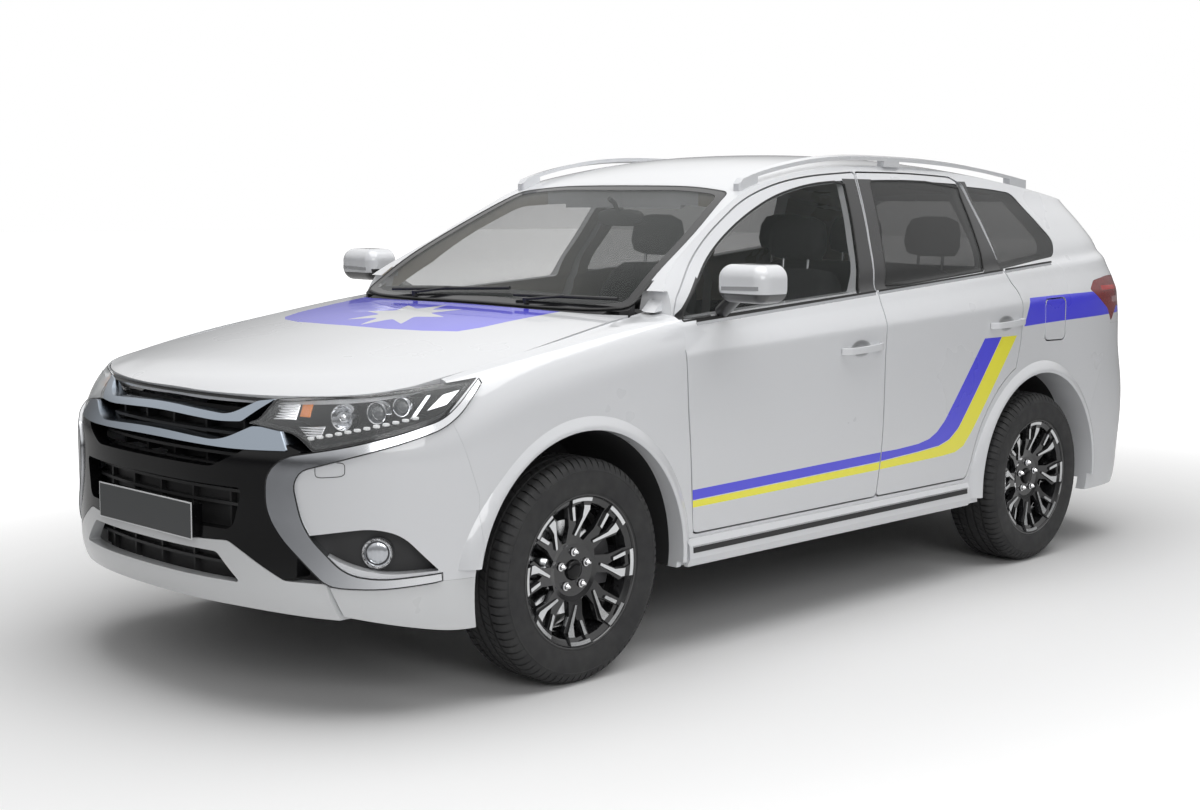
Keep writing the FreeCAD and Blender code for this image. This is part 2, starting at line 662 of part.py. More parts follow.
# Roof and windscreen.
roof_block = outer.common(along_z(top_plan(whole(ROOF)), 1200, 1800))
roof = roof_block.cut([below_top(size("roof_depth")), both_sides(front_pocket), both_sides(rear_pocket)])
roof = roof.fuse([gate_lug, mirrored(gate_lug)])
pieces["roof"] = roof
screen = glass_face.common(along_z(top_plan(whole(SCREEN)), 900, 1800)).cut(glass_back)
pieces["screen"] = screen
pieces["glass_quarter"] = glass_quarter

# Tail lamps and rear bumper.
lamp = fascia_layer.common(through_side(TAIL_LAMP, -SEAM)).cut(gate_pocket)
pieces["tail_lamp"] = lamp
fascia_whole = outer.common(block(-FAR, FAR, 1600, 2600, 200, 1000)).cut(cabin_block(FASCIA_DEPTH,
        FRAME_DEPTH, FASCIA_DEPTH))
bumper_rear = fascia_whole.common(along_x(side_plan(BUMPER_SEAM, -SEAM), -FAR, FAR))
bumper_rear = bumper_rear.cut([gate_pocket, drum(ARCH_RADIUS, REAR_HUB, -1000, 1000),
                               block(-FAR, FAR, 1500, 2500, 0, 250)])
pieces["bumper_rear"] = bumper_rear

# The fuel flap turns on a slim barrel along its front edge, between two lugs on the body.
FLAP_HINGE = at(874.5, 1338.5, 0)
flap_low = FLAP_HINGE + Vector(0, 0, 946)
flap_high = FLAP_HINGE + Vector(0, 0, 1067)
fuel_flap = rebate_layer.common(through_side(FUEL_DOOR, -GAP / 2))
fuel_flap = fuel_flap.fuse(barrel(2.4, flap_low, flap_high, block(873, 876, FLAP_HINGE.y,
        FLAP_HINGE.y + 4, 947, 1066)))
fuel_lugs = [block(871.5, 875.2, FLAP_HINGE.y - 14, FLAP_HINGE.y + 1, 934, 946 - SEAT),
             block(871.5, 875.2, FLAP_HINGE.y - 14, FLAP_HINGE.y + 1, 1067 + SEAT, 1079)]
flap_notch = block(875.4, 881, FLAP_HINGE.y - 7, FLAP_HINGE.y + 1, 930, 1083)
pieces["fuel_flap"] = fuel_flap

# Bonnet
BONNET_LINE = [(-2260, 905), (-2225, 925), (-2190, 942), (-2100, 968), (-2000, 985), (-1822, 1011),
               (-1600, 1047),
               (-1353, 1087), (-1200, 1107), (-1054, 1123), (-950, 1134)]
BONNET_FALL = [(-2260, 60), (-1830, 38), (-1362, 30), (-1100, 23), (-950, 16)]
BONNET_X = [0, 110, 220, 330, 430, 520, 600, 670, 730, 790]
BONNET_RUN = [-0.04, 0.0, 0.04, 0.09, 0.15, 0.22, 0.3, 0.4, 0.5, 0.6, 0.7, 0.8, 0.9, 1.0]


def bonnet_skin():
    """The bonnet's upper face: a crowned sheet that rolls down along its front edge."""
    rows = []
    for share in BONNET_RUN:
        row = []
        for x in BONNET_X:
            edge_y = between([(p[0], p[1]) for p in BONNET_EDGE[:8]], x)
            edge_z = between([(p[0], p[2]) for p in BONNET_EDGE[:8]], x)
            y = edge_y + (-950 - edge_y) * share

            def plain(place):
                return held(BONNET_LINE, place) - held(BONNET_FALL, place) * (x / 770) ** 2.2

            extra = held(BONNET_LINE, edge_y) - held(BONNET_FALL, edge_y) * (x / 770) ** 2.2 - edge_z
            fade = max(0.0, 1 - share / 0.2) ** 2
            row.append((x, y, plain(y) - extra * fade))
        rows.append([(-x, y, z) for x, y, z in reversed(row[1:])] + row)
    return skin(rows)


bonnet_outline = along_z(top_plan(whole(BONNET), -GAP / 2), 700, 1400)
bonnet = bonnet_skin().extrude(Vector(0, 0, -size("bonnet_depth"))).common(bonnet_outline)
BONNET_HINGE = Vector(0, at(0, -984, 0).y, at(0, 0, 1106).z)
bonnet_arm = block(620, 650, BONNET_HINGE.y - 60, BONNET_HINGE.y, BONNET_HINGE.z - 5, BONNET_HINGE.z + 4)
bonnet_barrel = barrel(5, BONNET_HINGE + Vector(620, 0, 0), BONNET_HINGE + Vector(650, 0, 0), bonnet_arm)
bonnet = bonnet.fuse([bonnet_barrel, mirrored(bonnet_barrel)])
pieces["bonnet"] = bonnet

NOSE_DEPTH = WING_DEPTH
LENS = 4
nose_outer = nose_block(0)
nose_inner = nose_block(NOSE_DEPTH)
nose_left = nose_outer.common(block(0, FAR, -3000, 0, -100, 1400))
nose_shell = nose_outer.cut(nose_inner)
nose_shell_left = half_solid(nose_shell)
DIAGONAL = Vector(math.sqrt(0.5), math.sqrt(0.5), 0)
SIGHT = Vector(-math.sqrt(0.5), math.sqrt(0.5), 0)


def through_corner(points, grow=0):
    """A block through the car's left front corner from an outline seen at 45 degrees.

    The first number of a pair runs along the diagonal in plan, (x + y) / 1.414. The second is the height.
    """
    def place(u, z):
        return DIAGONAL * u + Vector(0, FRONT_END + 2347.5, at(0, 0, z).z) - SIGHT * 2600

    return Part.Face(ring(grown(points, grow), place)).extrude(SIGHT * 1800)


def through_front(points, grow=0):
    return along_y(front_plan(points, grow), FRONT_END - 50, FRONT_END + 640)


HEADLAMP = [(-1305, 845, 5), (-1270, 858), (-1226, 914, 15), (-1075, 930), (-862, 945), (-655, 973, 4),
            (-740, 868, 20), (-846, 833), (-1000, 797), (-1102, 779, 10), (-1135, 808), (-1164, 825)]
BLADE = [(-650, 972, 2), (-700, 905), (-740, 868), (-846, 833), (-1000, 797), (-1102, 779), (-1187, 764),
         (-1241, 712), (-1241, 606), (-1198, 533), (-1073, 411), (-1039, 398), (-915, 392), (-743, 405, 2),
         (-743, 430, 2), (-915, 420), (-1010, 437), (-1130, 558), (-1158, 685), (-1136, 727), (-1000, 765),
         (-846, 806), (-740, 840), (-690, 880), (-640, 958, 2)]
BLADE_SIDE = [(-640, 985, 2), (-700, 905), (-740, 868), (-846, 833), (-1000, 797), (-1102, 779),
              (-1187, 764),
              (-1241, 712), (-1241, 606), (-1198, 533), (-1073, 411), (-1039, 398), (-915, 392), (-743,
                      405, 2),
              (-400, 405, 2), (-400, 985, 2)]
FOG_POCKET = [(-1141, 539, 8), (-1030, 556), (-934, 567), (-853, 546), (-752, 436, 6), (-906, 433),
              (-1024, 465)]
CORNER_SKIN = [(-1130, 558), (-1158, 685), (-1136, 727), (-1000, 765), (-846, 806), (-740, 840), (-690, 880),
               (-640, 958, 2), (-520, 958, 2), (-520, 400, 2), (-743, 400, 2), (-743, 430, 2), (-915,
                       420), (-1010, 437)]
CHIN_CORNER = [(-1055, 398, 3), (-915, 392), (-743, 405, 3), (-560, 400, 3), (-560, 256, 8), (-700, 250),
               (-1016, 312, 4)]
FRONT_PANEL = [(452, 912, 4), (380, 850, 4), (600, 780, 4), (600, 420, 4), (566, 412, 6), (440, 480, 15),
               (380, 510, 15), (240, 502)]
MOUTH = [(428, 903, 10), (380, 852, 15), (500, 818, 15), (416, 765, 20), (312, 716, 20)]
INTAKE = [(430, 664, 20), (395, 540, 30)]
UPPER_BAR = [(60, 874), (330, 862), (400, 905, 8), (452, 912, 4), (385, 848, 10), (300, 843), (60, 852)]
LOWER_BAR = [(76, 800), (330, 790), (430, 838, 8), (520, 838, 6), (566, 779, 4), (400, 773), (76, 778)]
SKID = [(240, 500), (380, 508, 15), (440, 478, 15), (566, 410, 10), (672, 407, 4), (690, 300, 4), (450, 318)]
SKID_MOUTH = [(338, 472, 14), (428, 392, 14)]
WING_SEAM = [(-1836, 1350, 2), (-1836, 960, 2), (-1880, 880), (-1790, 640, 2), (-1790, 100, 2),
             (-850, 100, 2),
             (-850, 1350, 2)]

bonnet_gap = along_z(top_plan(whole(BONNET), GAP / 2), 850, 1400)
nose_left_half = block(0, FAR, -3000, 0, -100, 1400)
headlamp_depth = nose_block(LENS + SEAM).common(nose_left_half).cut(nose_block(105))
headlamp = headlamp_depth.common(through_corner(HEADLAMP, -SEAM)).cut(bonnet_gap)
lamp_wall = along_z(top_plan(whole(BONNET), GAP / 2 + 14), 850, 1400)
lamp_cavity = nose_block(LENS).common(through_corner(HEADLAMP, -13)).cut([nose_block(70), lamp_wall])
lens = nose_left.cut(nose_block(LENS)).common(through_corner(HEADLAMP, -SEAM)).cut(bonnet_gap)
headlamp = headlamp.cut(lamp_cavity)
blade_proud = nose_block(-7).common(block(0, FAR, -3000, 0, -100, 1400)).cut(nose_inner)
blade = blade_proud.common(through_corner(BLADE, -SEAM)).cut([through_corner(HEADLAMP), bonnet_gap])
bumper_corner = nose_shell_left.common(through_corner(CORNER_SKIN)).cut([
    along_x(side_plan(WING_SEAM, SEAM), 300, FAR), through_corner(FOG_POCKET), through_corner(BLADE, SEAM),
    through_corner(CHIN_CORNER, SEAM), drum(ARCH_RADIUS, FRONT_HUB, 300, 1000)])
chin_corner = nose_shell_left.common(through_corner(CHIN_CORNER)).cut([
    through_corner(BLADE, SEAM), drum(ARCH_RADIUS, FRONT_HUB, 300, 1000)])
skid = nose_shell.common(through_front(whole(SKID)))
blade_side = through_corner(BLADE_SIDE, SEAM)
blade_sides = Part.makeCompound([blade_side, mirrored(blade_side)])
headlamp_sides = Part.makeCompound([through_corner(HEADLAMP, SEAM),
                                    mirrored(through_corner(HEADLAMP, SEAM))])
skid = skid.cut([through_front(whole(SKID_MOUTH)), blade_sides])
chin_corner = chin_corner.cut(through_front(whole(SKID), SEAM))
bar_prisms = Part.makeCompound([through_front(whole(UPPER_BAR)),
                                through_front(whole(LOWER_BAR))])
bar_gaps = Part.makeCompound([through_front(whole(UPPER_BAR), SEAM),
                              through_front(whole(LOWER_BAR), SEAM)])
panel = nose_shell.common(through_front(whole(FRONT_PANEL)))
panel = panel.cut([through_front(whole(MOUTH)), through_front(whole(INTAKE)),
                   through_front(whole(SKID), SEAM), blade_sides, headlamp_sides, bonnet_gap,
                   bar_gaps])
plate_holder = block(-262, 262, FRONT_END + 0.3, FRONT_END + 33, 504, 600)
panel = panel.fuse(plate_holder)
bars = nose_block(-3).cut(nose_inner).common(bar_prisms)
bars = bars.cut([headlamp_sides, bonnet_gap, blade_sides])
skirt_room = block(856, FAR, -906, -700, SILL - 5, SILL + 89)
wing = nose_shell_left.common(through_side(WING_SEAM)).cut([
    through_corner(HEADLAMP), through_corner(BLADE, SEAM), bonnet_gap, through_side(WING_END),
    drum(ARCH_RADIUS, FRONT_HUB, 300, 1000), under_sill, skirt_room,
    along_z(top_plan([(722, -1100, 2), (700, -975, 2), (678, -850, 2), (678, -800, 2), (500, -800, 2),
                      (500, -1100, 2)], GAP / 2), 1000, 1400)])
front_flare = flare(FRONT_HUB, 884).common(block(780, 1000, FRONT_AXLE - 600, FRONT_AXLE + 600, SILL + 20,
                                                 1000))
wing_flare = front_flare.common(along_x(side_plan(WING_SEAM), 300, FAR)).cut([through_side(WING_END),
        skirt_room])
bumper_flare = front_flare.cut([along_x(side_plan(WING_SEAM, SEAM), 300, FAR), under_sill])
wing = wing.fuse(wing_flare)
bumper_corner = bumper_corner.fuse(bumper_flare.common(block(0, FAR, -3000, 0, 430, 1200)))
for label, shape in [("headlamp", headlamp), ("lens", lens), ("blade", blade),
                     ("bumper_corner", bumper_corner),
                     ("chin_corner", chin_corner), ("skid", skid), ("panel", panel), ("bars",
                             bars), ("wing", wing)]:
    pieces[label] = shape

# Fog lamps in their dark pockets, and the grille's slats behind the mouth and the intakes.
nose_behind = nose_block(NOSE_DEPTH + SEAM)
fog_centre = at(764, -2070, 491)
fog_pocket = nose_behind.common(through_corner(FOG_POCKET, 5)).cut([nose_block(NOSE_DEPTH + 30),
                                                                   drum(ARCH_RADIUS + 16, FRONT_HUB, 0,
                                                                           FAR)])
fog_lamp = rod(45, fog_centre + SIGHT * 14, fog_centre + SIGHT * 74)
fog_lamp = fog_lamp.cut(rod(37, fog_centre + SIGHT * 10, fog_centre + SIGHT * 22))
fog = half_solid(fog_pocket).fuse(fog_lamp)
pieces["fog"] = fog


def bowed(half, front, depth, bow, z0, z1):
    """A plate that bows forward in the middle, seen from above."""
    edges = []
    for y in (front, front + depth):
        arc = Part.Arc(at(-half, y + bow, z0), at(0, y, z0), at(half, y + bow, z0)).toShape()
        edges.append(arc)
    (a, b), (c, d) = ends(edges[0]), ends(edges[1])
    face = Part.Face(Part.Wire(Part.__sortEdges__(edges + [line(a, c), line(b, d)])))
    return face.extrude(Vector(0, 0, at(0, 0, z1).z - at(0, 0, z0).z))


grille_parts = [bowed(440, -2272, 8, 50, 375, 715), bowed(440, -2200, 8, 50, 707, 872)]
for z, front in ((425, -2296), (600, -2296), (640, -2296), (742, -2280), (800, -2262), (850, -2236)):
    grille_parts.append(bowed(440, front, -2190 - front if z > 710 else -2266 - front, 50, z, z + 9))
grille = grille_parts[0].multiFuse(grille_parts[1:])
ribs = []
for x in (-330, -165, 0, 165, 330):
    sag = 50 * (x / 440) ** 2
    ribs.append(block(x - 5, x + 5, -2290 + sag, -2240, 376, 714))
    ribs.append(block(x - 5, x + 5, -2240 + sag, -2150, 707, 860))
bar_room = nose_block(-4).cut(nose_block(NOSE_DEPTH + SEAM)).common(bar_gaps)
grille = grille.multiFuse(ribs).cut([bar_room, headlamp_sides])
pieces["grille"] = grille

# Floor, bulkhead, wheel tubs, cowl and battery tray.
FLOOR_LEVEL = 330
FLOOR = size("floor_thickness")
BOOT_STEP = 905
BOOT_RISE = 230
FRONT_TUB = 462
REAR_TUB = 600
TUB_SKIN = 11
space = cabin_block(SIDE_DEPTH + SEAM, PILLAR_DEPTH + SEAM, PILLAR_DEPTH + SEAM)


def tub(hub, inner, outer_x, floor):
    """A wheel tub: a half drum round the tyre, closed on its inner side."""
    round_part = drum(ARCH_RADIUS + TUB_SKIN, hub, inner, outer_x).cut(
        drum(ARCH_RADIUS, hub, inner + TUB_SKIN, outer_x + 1))
    return round_part.common(block(0, FAR, hub.y - 600, hub.y + 600, floor, 1000))


slabs = [
    block(-760, 760, -984, BOOT_STEP, FLOOR_LEVEL, FLOOR_LEVEL + FLOOR),
    block(-760, 760, BOOT_STEP - FLOOR, BOOT_STEP, FLOOR_LEVEL, FLOOR_LEVEL + BOOT_RISE + FLOOR),
    block(-760, 760, BOOT_STEP - FLOOR, 2215, FLOOR_LEVEL + BOOT_RISE, FLOOR_LEVEL + BOOT_RISE + FLOOR),
    block(-760, 760, -984, -984 + FLOOR, FLOOR_LEVEL, 1062),
]
floor = slabs[0].multiFuse(slabs[1:]).common(space)
rear_holes = Part.makeCompound([drum(ARCH_RADIUS + TUB_SKIN, REAR_HUB, REAR_TUB, FAR),
                                mirrored(drum(ARCH_RADIUS + TUB_SKIN, REAR_HUB, REAR_TUB, FAR))])
front_holes = Part.makeCompound([drum(ARCH_RADIUS + TUB_SKIN, FRONT_HUB, FRONT_TUB, FAR),
                                 mirrored(drum(ARCH_RADIUS + TUB_SKIN, FRONT_HUB, FRONT_TUB, FAR))])
floor = floor.cut([rear_holes, front_holes])
rear_tub = tub(REAR_HUB, REAR_TUB, 770, FLOOR_LEVEL).common(space)
front_tub = tub(FRONT_HUB, FRONT_TUB, 842, SILL).common(nose_behind)
cowl = along_z(top_plan(whole(COWL)), 1030, 1300).common(below_top(GLASS_SINK + GLASS + 2))
hinge_notch = block(611, 659, -1080, BONNET_HINGE.y + 11, 1085, 1124)
hinge_lug = block(611, 620 - SEAT, -990, BONNET_HINGE.y + 12, 1084, 1111).fuse(
    block(650 + SEAT, 659, -990, BONNET_HINGE.y + 12, 1084, 1111))
cowl = cowl.cut(both_sides(hinge_notch)).fuse([hinge_lug, mirrored(hinge_lug)])
floor = floor.fuse([rear_tub, mirrored(rear_tub), cowl, block(-520, 520, -520, 860, 205, FLOOR_LEVEL + 1)])
pieces["floor"] = floor

frame_parts = [front_tub, mirrored(front_tub)]
for side in (-1, 1):
    x0, x1 = sorted((side * 375, side * 450))
    frame_parts.append(block(x0, x1, -2205, -984.5, 335, 430))
frame_parts.append(block(-500, 500, -2205, -2150, 425, 590))
frame_parts.append(block(-452, 452, -1450, -1290, 255, 340))
frame_parts.append(block(-420, 420, -1850, -1750, 335, 359.7))
frame_parts.append(block(-465, 465, -1320, -1290, 300, 340))
frame_parts.append(block(-465, 465, -1440, -1410, 335, 700).cut(block(-375, 375, -1500, -1300, 430, 900)))
frame = frame_parts[0].multiFuse(frame_parts[1:])
pieces["frame"] = frame

power_unit = block(-350, 350, -2050, -2050 + size("engine_length"), 360, 800)
pieces["power_unit"] = power_unit

# Running gear. The kingpin leans inward towards its top, as on the real car.
TRACK = size("track_width") / 2
KINGPIN_LOW = Vector(TRACK - size("kingpin_offset") + 24, FRONT_AXLE, AXLE_HEIGHT - 120)
KINGPIN_HIGH = Vector(TRACK - size("kingpin_offset") - 88, FRONT_AXLE, AXLE_HEIGHT + 438)
RIM_R = size("rim_radius")
BORE = size("hub_bore_radius")


def drawing(body, name, plane, outline, raised=0):
    """A closed outline drawn on one of the body's own planes, or that far above the plane."""
    sketch = body.newObject("Sketcher::SketchObject", name)
    sketch.AttachmentSupport = [(next(p for p in body.Origin.OriginFeatures if p.Role == plane), "")]
    sketch.MapMode = "FlatFace"
    sketch.AttachmentOffset = Placement(Vector(0, 0, raised), Rotation())
    corners = [Vector(x, y, 0) for x, y in outline]
    if corners:
        sketch.addGeometry([Part.LineSegment(p, q) for p, q in zip(corners, corners[1:] + corners[:1])],
                           False)
    return sketch


def shaped(body, kind, name, sketch, **settings):
    """One step of a body, made from a drawing."""
    step = body.newObject("PartDesign::" + kind, name)
    step.Profile = sketch
    for key, value in settings.items():
        setattr(step, key, value)
    return step


def round_axle(body, name, step, sketch, count):
    """The same step repeated evenly round the wheel's axle."""
    pattern = body.newObject("PartDesign::PolarPattern", name)
    pattern.Originals = [step]
    pattern.Axis = (sketch, ["N_Axis"])
    pattern.Angle = 360
    pattern.setExpression("Occurrences", "sizes." + count)
    body.Tip = pattern


def on_face(spots):
    """Points on the wheel's face, from (degrees clockwise seen from outside, share of the rim's radius)."""
    return [(RIM_R * r * math.sin(math.radians(a)), RIM_R * r * math.cos(math.radians(a))) for a, r in spots]


# Wheels. Each is one casting: a barrel with two bead seats, a dished disc with windows, and on the disc
# eight
# forked lands that are machined bright. A land starts as a broad foot at the rim's edge and splits into a
# short
# straight prong and a long one that bends back to the wheel's middle.
BEAD = size("rim_width") / 2
RIM_SECTION = [
    (BORE, 62), (82, 62), (98, 66), (205, 82), (219, 90), (231, 96), (235, BEAD), (RIM_R - 1, BEAD),
    (RIM_R - 1, BEAD - 7), (228, 89), (222, 60), (219, 42), (206, 22), (206, -20), (218, -60), (228, -92),
    (RIM_R - 1, 6 - BEAD), (RIM_R - 1, -BEAD), (230, -BEAD), (212, -66), (199, -24), (199, 18), (212,
            38), (215, 58),
    (208, 66), (197, 66), (98, 44), (80, 34), (80, 8), (size("disc_radius"), 8),
    (size("disc_radius"), 8 - size("disc_thickness")), (BORE, 8 - size("disc_thickness")),
]
LAND_FRONT = [(90, 70), (205, 91), (219, 98), (233, BEAD), (250, BEAD), (250, 125), (90, 125)]
BEAD_ROOM = [(222, 60), (228, 89), (RIM_R - 1, BEAD - 7), (RIM_R + 9, BEAD - 7), (RIM_R + 9, 60)]
LAND = [(-10.6, 0.972), (0, 0.972), (10.9, 0.972), (13.6, 0.80), (0, 0.45), (-3.6, 0.462), (6.4, 0.69),
        (5.7, 0.835), (2.4, 0.91), (-6.8, 0.90), (-3.6, 0.655), (-7.2, 0.66)]
WINDOW = [(13.5, 0.885), (17, 0.80), (11, 0.60), (13, 0.42), (24, 0.40), (33, 0.60), (32.5, 0.885),
          (23, 0.888)]
SLOT = [(2.0, 0.87), (-5.6, 0.86), (-2.6, 0.67), (1, 0.585), (5.2, 0.69), (4.6, 0.82)]
TYRE_SECTION = [
    (226.7, -87), (243, -95), (268, -109), (300, -112.5), (334, -104), (352, -78), (352, 78), (334, 104),
    (300, 112.5), (268, 109), (243, 95), (227.9, 87), (224.4, 70), (262, 96), (318, 98), (340, 70),
    (340, -70), (318, -98), (262, -96), (221.4, -70),
]


def wheel_casting(label):
    """The wheel and the brake disc bolted behind it, round the body's upright axis."""
    body = doc.addObject("PartDesign::Body", label)
    section = drawing(body, "rim_section", "XZ_Plane", RIM_SECTION)
    shaped(body, "Revolution", "barrel_and_disc", section, ReferenceAxis=(section, ["V_Axis"]), Angle=360)
    plan = drawing(body, "land_plan", "XY_Plane", on_face(LAND), 64.5)
    round_axle(body, "lands", shaped(body, "Pad", "land", plan, Length=43), plan, "spoke_pairs")
    front = drawing(body, "land_front", "XZ_Plane", LAND_FRONT)
    shaped(body, "Groove", "dished_front", front, ReferenceAxis=(front, ["V_Axis"]), Angle=360)
    bead = drawing(body, "bead_room", "XZ_Plane", BEAD_ROOM)
    shaped(body, "Groove", "tyre_seat", bead, ReferenceAxis=(bead, ["V_Axis"]), Angle=360)
    plan = drawing(body, "window_plan", "XY_Plane", on_face(WINDOW), 20)
    cut = shaped(body, "Pocket", "window", plan, Length=90, Reversed=True)
    round_axle(body, "windows", cut, plan, "spoke_pairs")
    plan = drawing(body, "slot_plan", "XY_Plane", on_face(SLOT), 20)
    cut = shaped(body, "Pocket", "slot", plan, Length=90, Reversed=True)
    round_axle(body, "slots", cut, plan, "spoke_pairs")
    plan = drawing(body, "lug_plan", "XY_Plane", [])
    middle = Vector(-size("lug_circle") / 2, 0, 0)
    plan.addGeometry(Part.Circle(middle, Vector(0, 0, 1), size("lug_hole_radius")), False)
    cut = shaped(body, "Pocket", "lug_hole", plan, Type=1, Midplane=True)
    round_axle(body, "lug_holes", cut, plan, "lug_count")
    return body


def tyre_carcass(label):
    """The tyre as moulded, hollow behind the tread, round the body's upright axis."""
    body = doc.addObject("PartDesign::Body", label)
    section = drawing(body, "tyre_section", "XZ_Plane", TYRE_SECTION)
    shaped(body, "Revolution", "carcass", section, ReferenceAxis=(section, ["V_Axis"]), Angle=360)
    return body


def caliper(hub_y, behind):
    hub = Vector(TRACK, hub_y, AXLE_HEIGHT)
    body = Part.makeCylinder(188, 84, hub + Vector(-52, 0, 0), Vector(1, 0, 0)).cut(
        Part.makeCylinder(92, 84, hub + Vector(-52, 0, 0), Vector(1, 0, 0)))
    wedge = block(TRACK - 60, TRACK + 60, hub_y + (20 if behind > 0 else -200),
                  hub_y + (200 if behind > 0 else -20),
                  AXLE_HEIGHT - 70, AXLE_HEIGHT + 70)
    slot = Part.makeCylinder(156, 40, hub + Vector(-25, 0, 0), Vector(1, 0, 0))
    return body.common(wedge).cut(slot)


def upright(hub_y, behind):
    """The bearing carrier, its stub axle and the brake caliper on it."""
    hub = Vector(TRACK, hub_y, AXLE_HEIGHT)
    stub = Part.makeCylinder(BORE - 0.4, 130, hub + Vector(-75, 0, 0), Vector(1, 0, 0))
    carrier = Part.makeCylinder(70, 45, hub + Vector(-75, 0, 0), Vector(1, 0, 0))
    arm_y0, arm_y1 = sorted((hub_y, hub_y + behind * 120))
    arm = block(TRACK - 75, TRACK - 50, arm_y0, arm_y1, AXLE_HEIGHT - 50, AXLE_HEIGHT + 50)
    return carrier.multiFuse([stub, arm, caliper(hub_y, behind)])


lean = (KINGPIN_HIGH - KINGPIN_LOW).normalize()
strut_top = KINGPIN_HIGH - lean * 4.6
strut_foot = KINGPIN_LOW + lean * 470
knuckle = upright(FRONT_AXLE, 1)
elbow = Vector(TRACK - 76, FRONT_AXLE, AXLE_HEIGHT + 60)
bend = Vector(TRACK - 134, FRONT_AXLE, AXLE_HEIGHT + 150)
knuckle = knuckle.multiFuse([
    rod(22, strut_foot, strut_top), rod(27, strut_foot, strut_foot + lean * 50),
    rod(15, elbow, bend), Part.makeSphere(15, elbow), Part.makeSphere(15, bend), rod(15, bend,
            strut_foot + lean * 8),
    rod(17, KINGPIN_LOW, KINGPIN_LOW + lean * 90),
    block(TRACK - 75, TRACK - 50, FRONT_AXLE - 130, FRONT_AXLE, AXLE_HEIGHT - 60, AXLE_HEIGHT - 30),
])
lower_arm = rod(18, KINGPIN_LOW - lean * 18.5 + Vector(-2, 0, -16), Vector(440, FRONT_AXLE, 290)).fuse(
    rod(20, KINGPIN_LOW - lean * 0.5, KINGPIN_LOW - lean * 32))
pieces["frame"] = frame.multiFuse([lower_arm, mirrored(lower_arm)])
rear_parts = [upright(REAR_AXLE, -1)]
rear_parts.append(rod(18, Vector(TRACK - 60, REAR_AXLE, 285), Vector(340, REAR_AXLE + 40, 300)))
rear_parts.append(rod(18, Vector(TRACK - 60, REAR_AXLE - 40, 285), Vector(420, REAR_AXLE - 400, 305)))
rear_parts.append(rod(36, Vector(556, REAR_AXLE, 310),
                      Vector(556, REAR_AXLE, FLOOR_LEVEL + BOOT_RISE - 0.5)))
rear_left = rear_parts[0].multiFuse(rear_parts[1:])
rear_axle = rear_left.multiFuse([mirrored(rear_left), block(-360, 360, REAR_AXLE - 90, REAR_AXLE + 110,
                                                            265, 335)])
pieces["rear_axle"] = rear_axle

# Cabin fittings.
DASH = [(-951, 640, 8), (-951, 1020), (-944, 1026), (-944, 1062, 6), (-700, 1075), (-585, 1035, 40),
        (-575, 900, 30), (-660, 780), (-660, 640, 8)]
dash = along_x(side_plan(DASH), -755, 755).common(space)
WHEEL_CENTRE = at(365, -430, 965)
WHEEL_LEAN = 25
COLUMN = Vector(0, math.cos(math.radians(WHEEL_LEAN)), math.sin(math.radians(WHEEL_LEAN)))
shroud = rod(42, WHEEL_CENTRE - COLUMN * 300, WHEEL_CENTRE - COLUMN * 62)
dash = dash.fuse(shroud)
steering = Part.makeTorus(size("steering_wheel_radius"), size("steering_wheel_grip"), WHEEL_CENTRE, COLUMN)
spokes = []
for turn in (0, 180, 270):
    spoke = Part.makeBox(size("steering_wheel_radius"), 34, 14, Vector(0, -17, -22))
    spoke.rotate(Vector(0, 0, 0), Vector(0, 0, 1), turn)
    spokes.append(spoke)
spokes.append(Part.makeCylinder(62, 40, Vector(0, 0, -40)))
spokes.append(Part.makeCylinder(24, 30, Vector(0, 0, -61)))
hub_unit = spokes[0].multiFuse(spokes[1:])
hub_unit.Placement = Placement(WHEEL_CENTRE, Rotation(Vector(0, 0, 1), COLUMN))
steering = steering.fuse(hub_unit)


def seat(x, width, y, headrests, runner):
    """A seat: cushion, leaning back and headrests on posts, as one solid."""
    z = FLOOR_LEVEL + FLOOR
    cushion = [(y, z + 200, 30), (y + 10, z + 320, 40), (y + 440, z + 290, 20), (y + 560, z + 300, 20),
               (y + 560, z + 190, 20)]
    back = [(y + 430, z + 240, 20), (y + 400, z + 330, 20), (y + 590, z + 860, 40), (y + 700, z + 850, 40),
            (y + 590, z + 240, 30)]
    x0 = x - width / 2
    shape = along_x(side_plan(cushion), x0, x0 + width).fuse(along_x(side_plan(back), x0 + 15,
            x0 + width - 15))
    rails = [block(x0 + 60, x0 + 100, y + 60, y + 60 + runner, z, z + 215),
             block(x0 + width - 100, x0 + width - 60, y + 60, y + 60 + runner, z, z + 215)]
    for hx in headrests:
        head = [(y + 590, z + 905, 25), (y + 625, z + 1060, 30), (y + 700, z + 1060, 40),
                (y + 700, z + 905, 25)]
        rails.append(along_x(side_plan(head), x + hx - 130, x + hx + 130))
        for post in (-60, 60):
            rails.append(rod(7, at(x + hx + post, y + 640, z + 820), at(x + hx + post, y + 655, z + 930)))
    return shape.multiFuse(rails)


seat_left = seat(370, size("seat_width"), -330, [0], 440)
seats = Part.makeCompound([seat_left, mirrored(seat_left)])
bench = seat(0, 1300, 560, [-430, 0, 430], 240)
boot_floor = block(-FAR, FAR, BOOT_STEP - FLOOR - SEAT, 2300, 0, FLOOR_LEVEL + BOOT_RISE + FLOOR + SEAT)
tub_room = drum(ARCH_RADIUS + TUB_SKIN + SEAT, REAR_HUB, REAR_TUB - SEAT, FAR)
bench = bench.cut([boot_floor, both_sides(tub_room)])

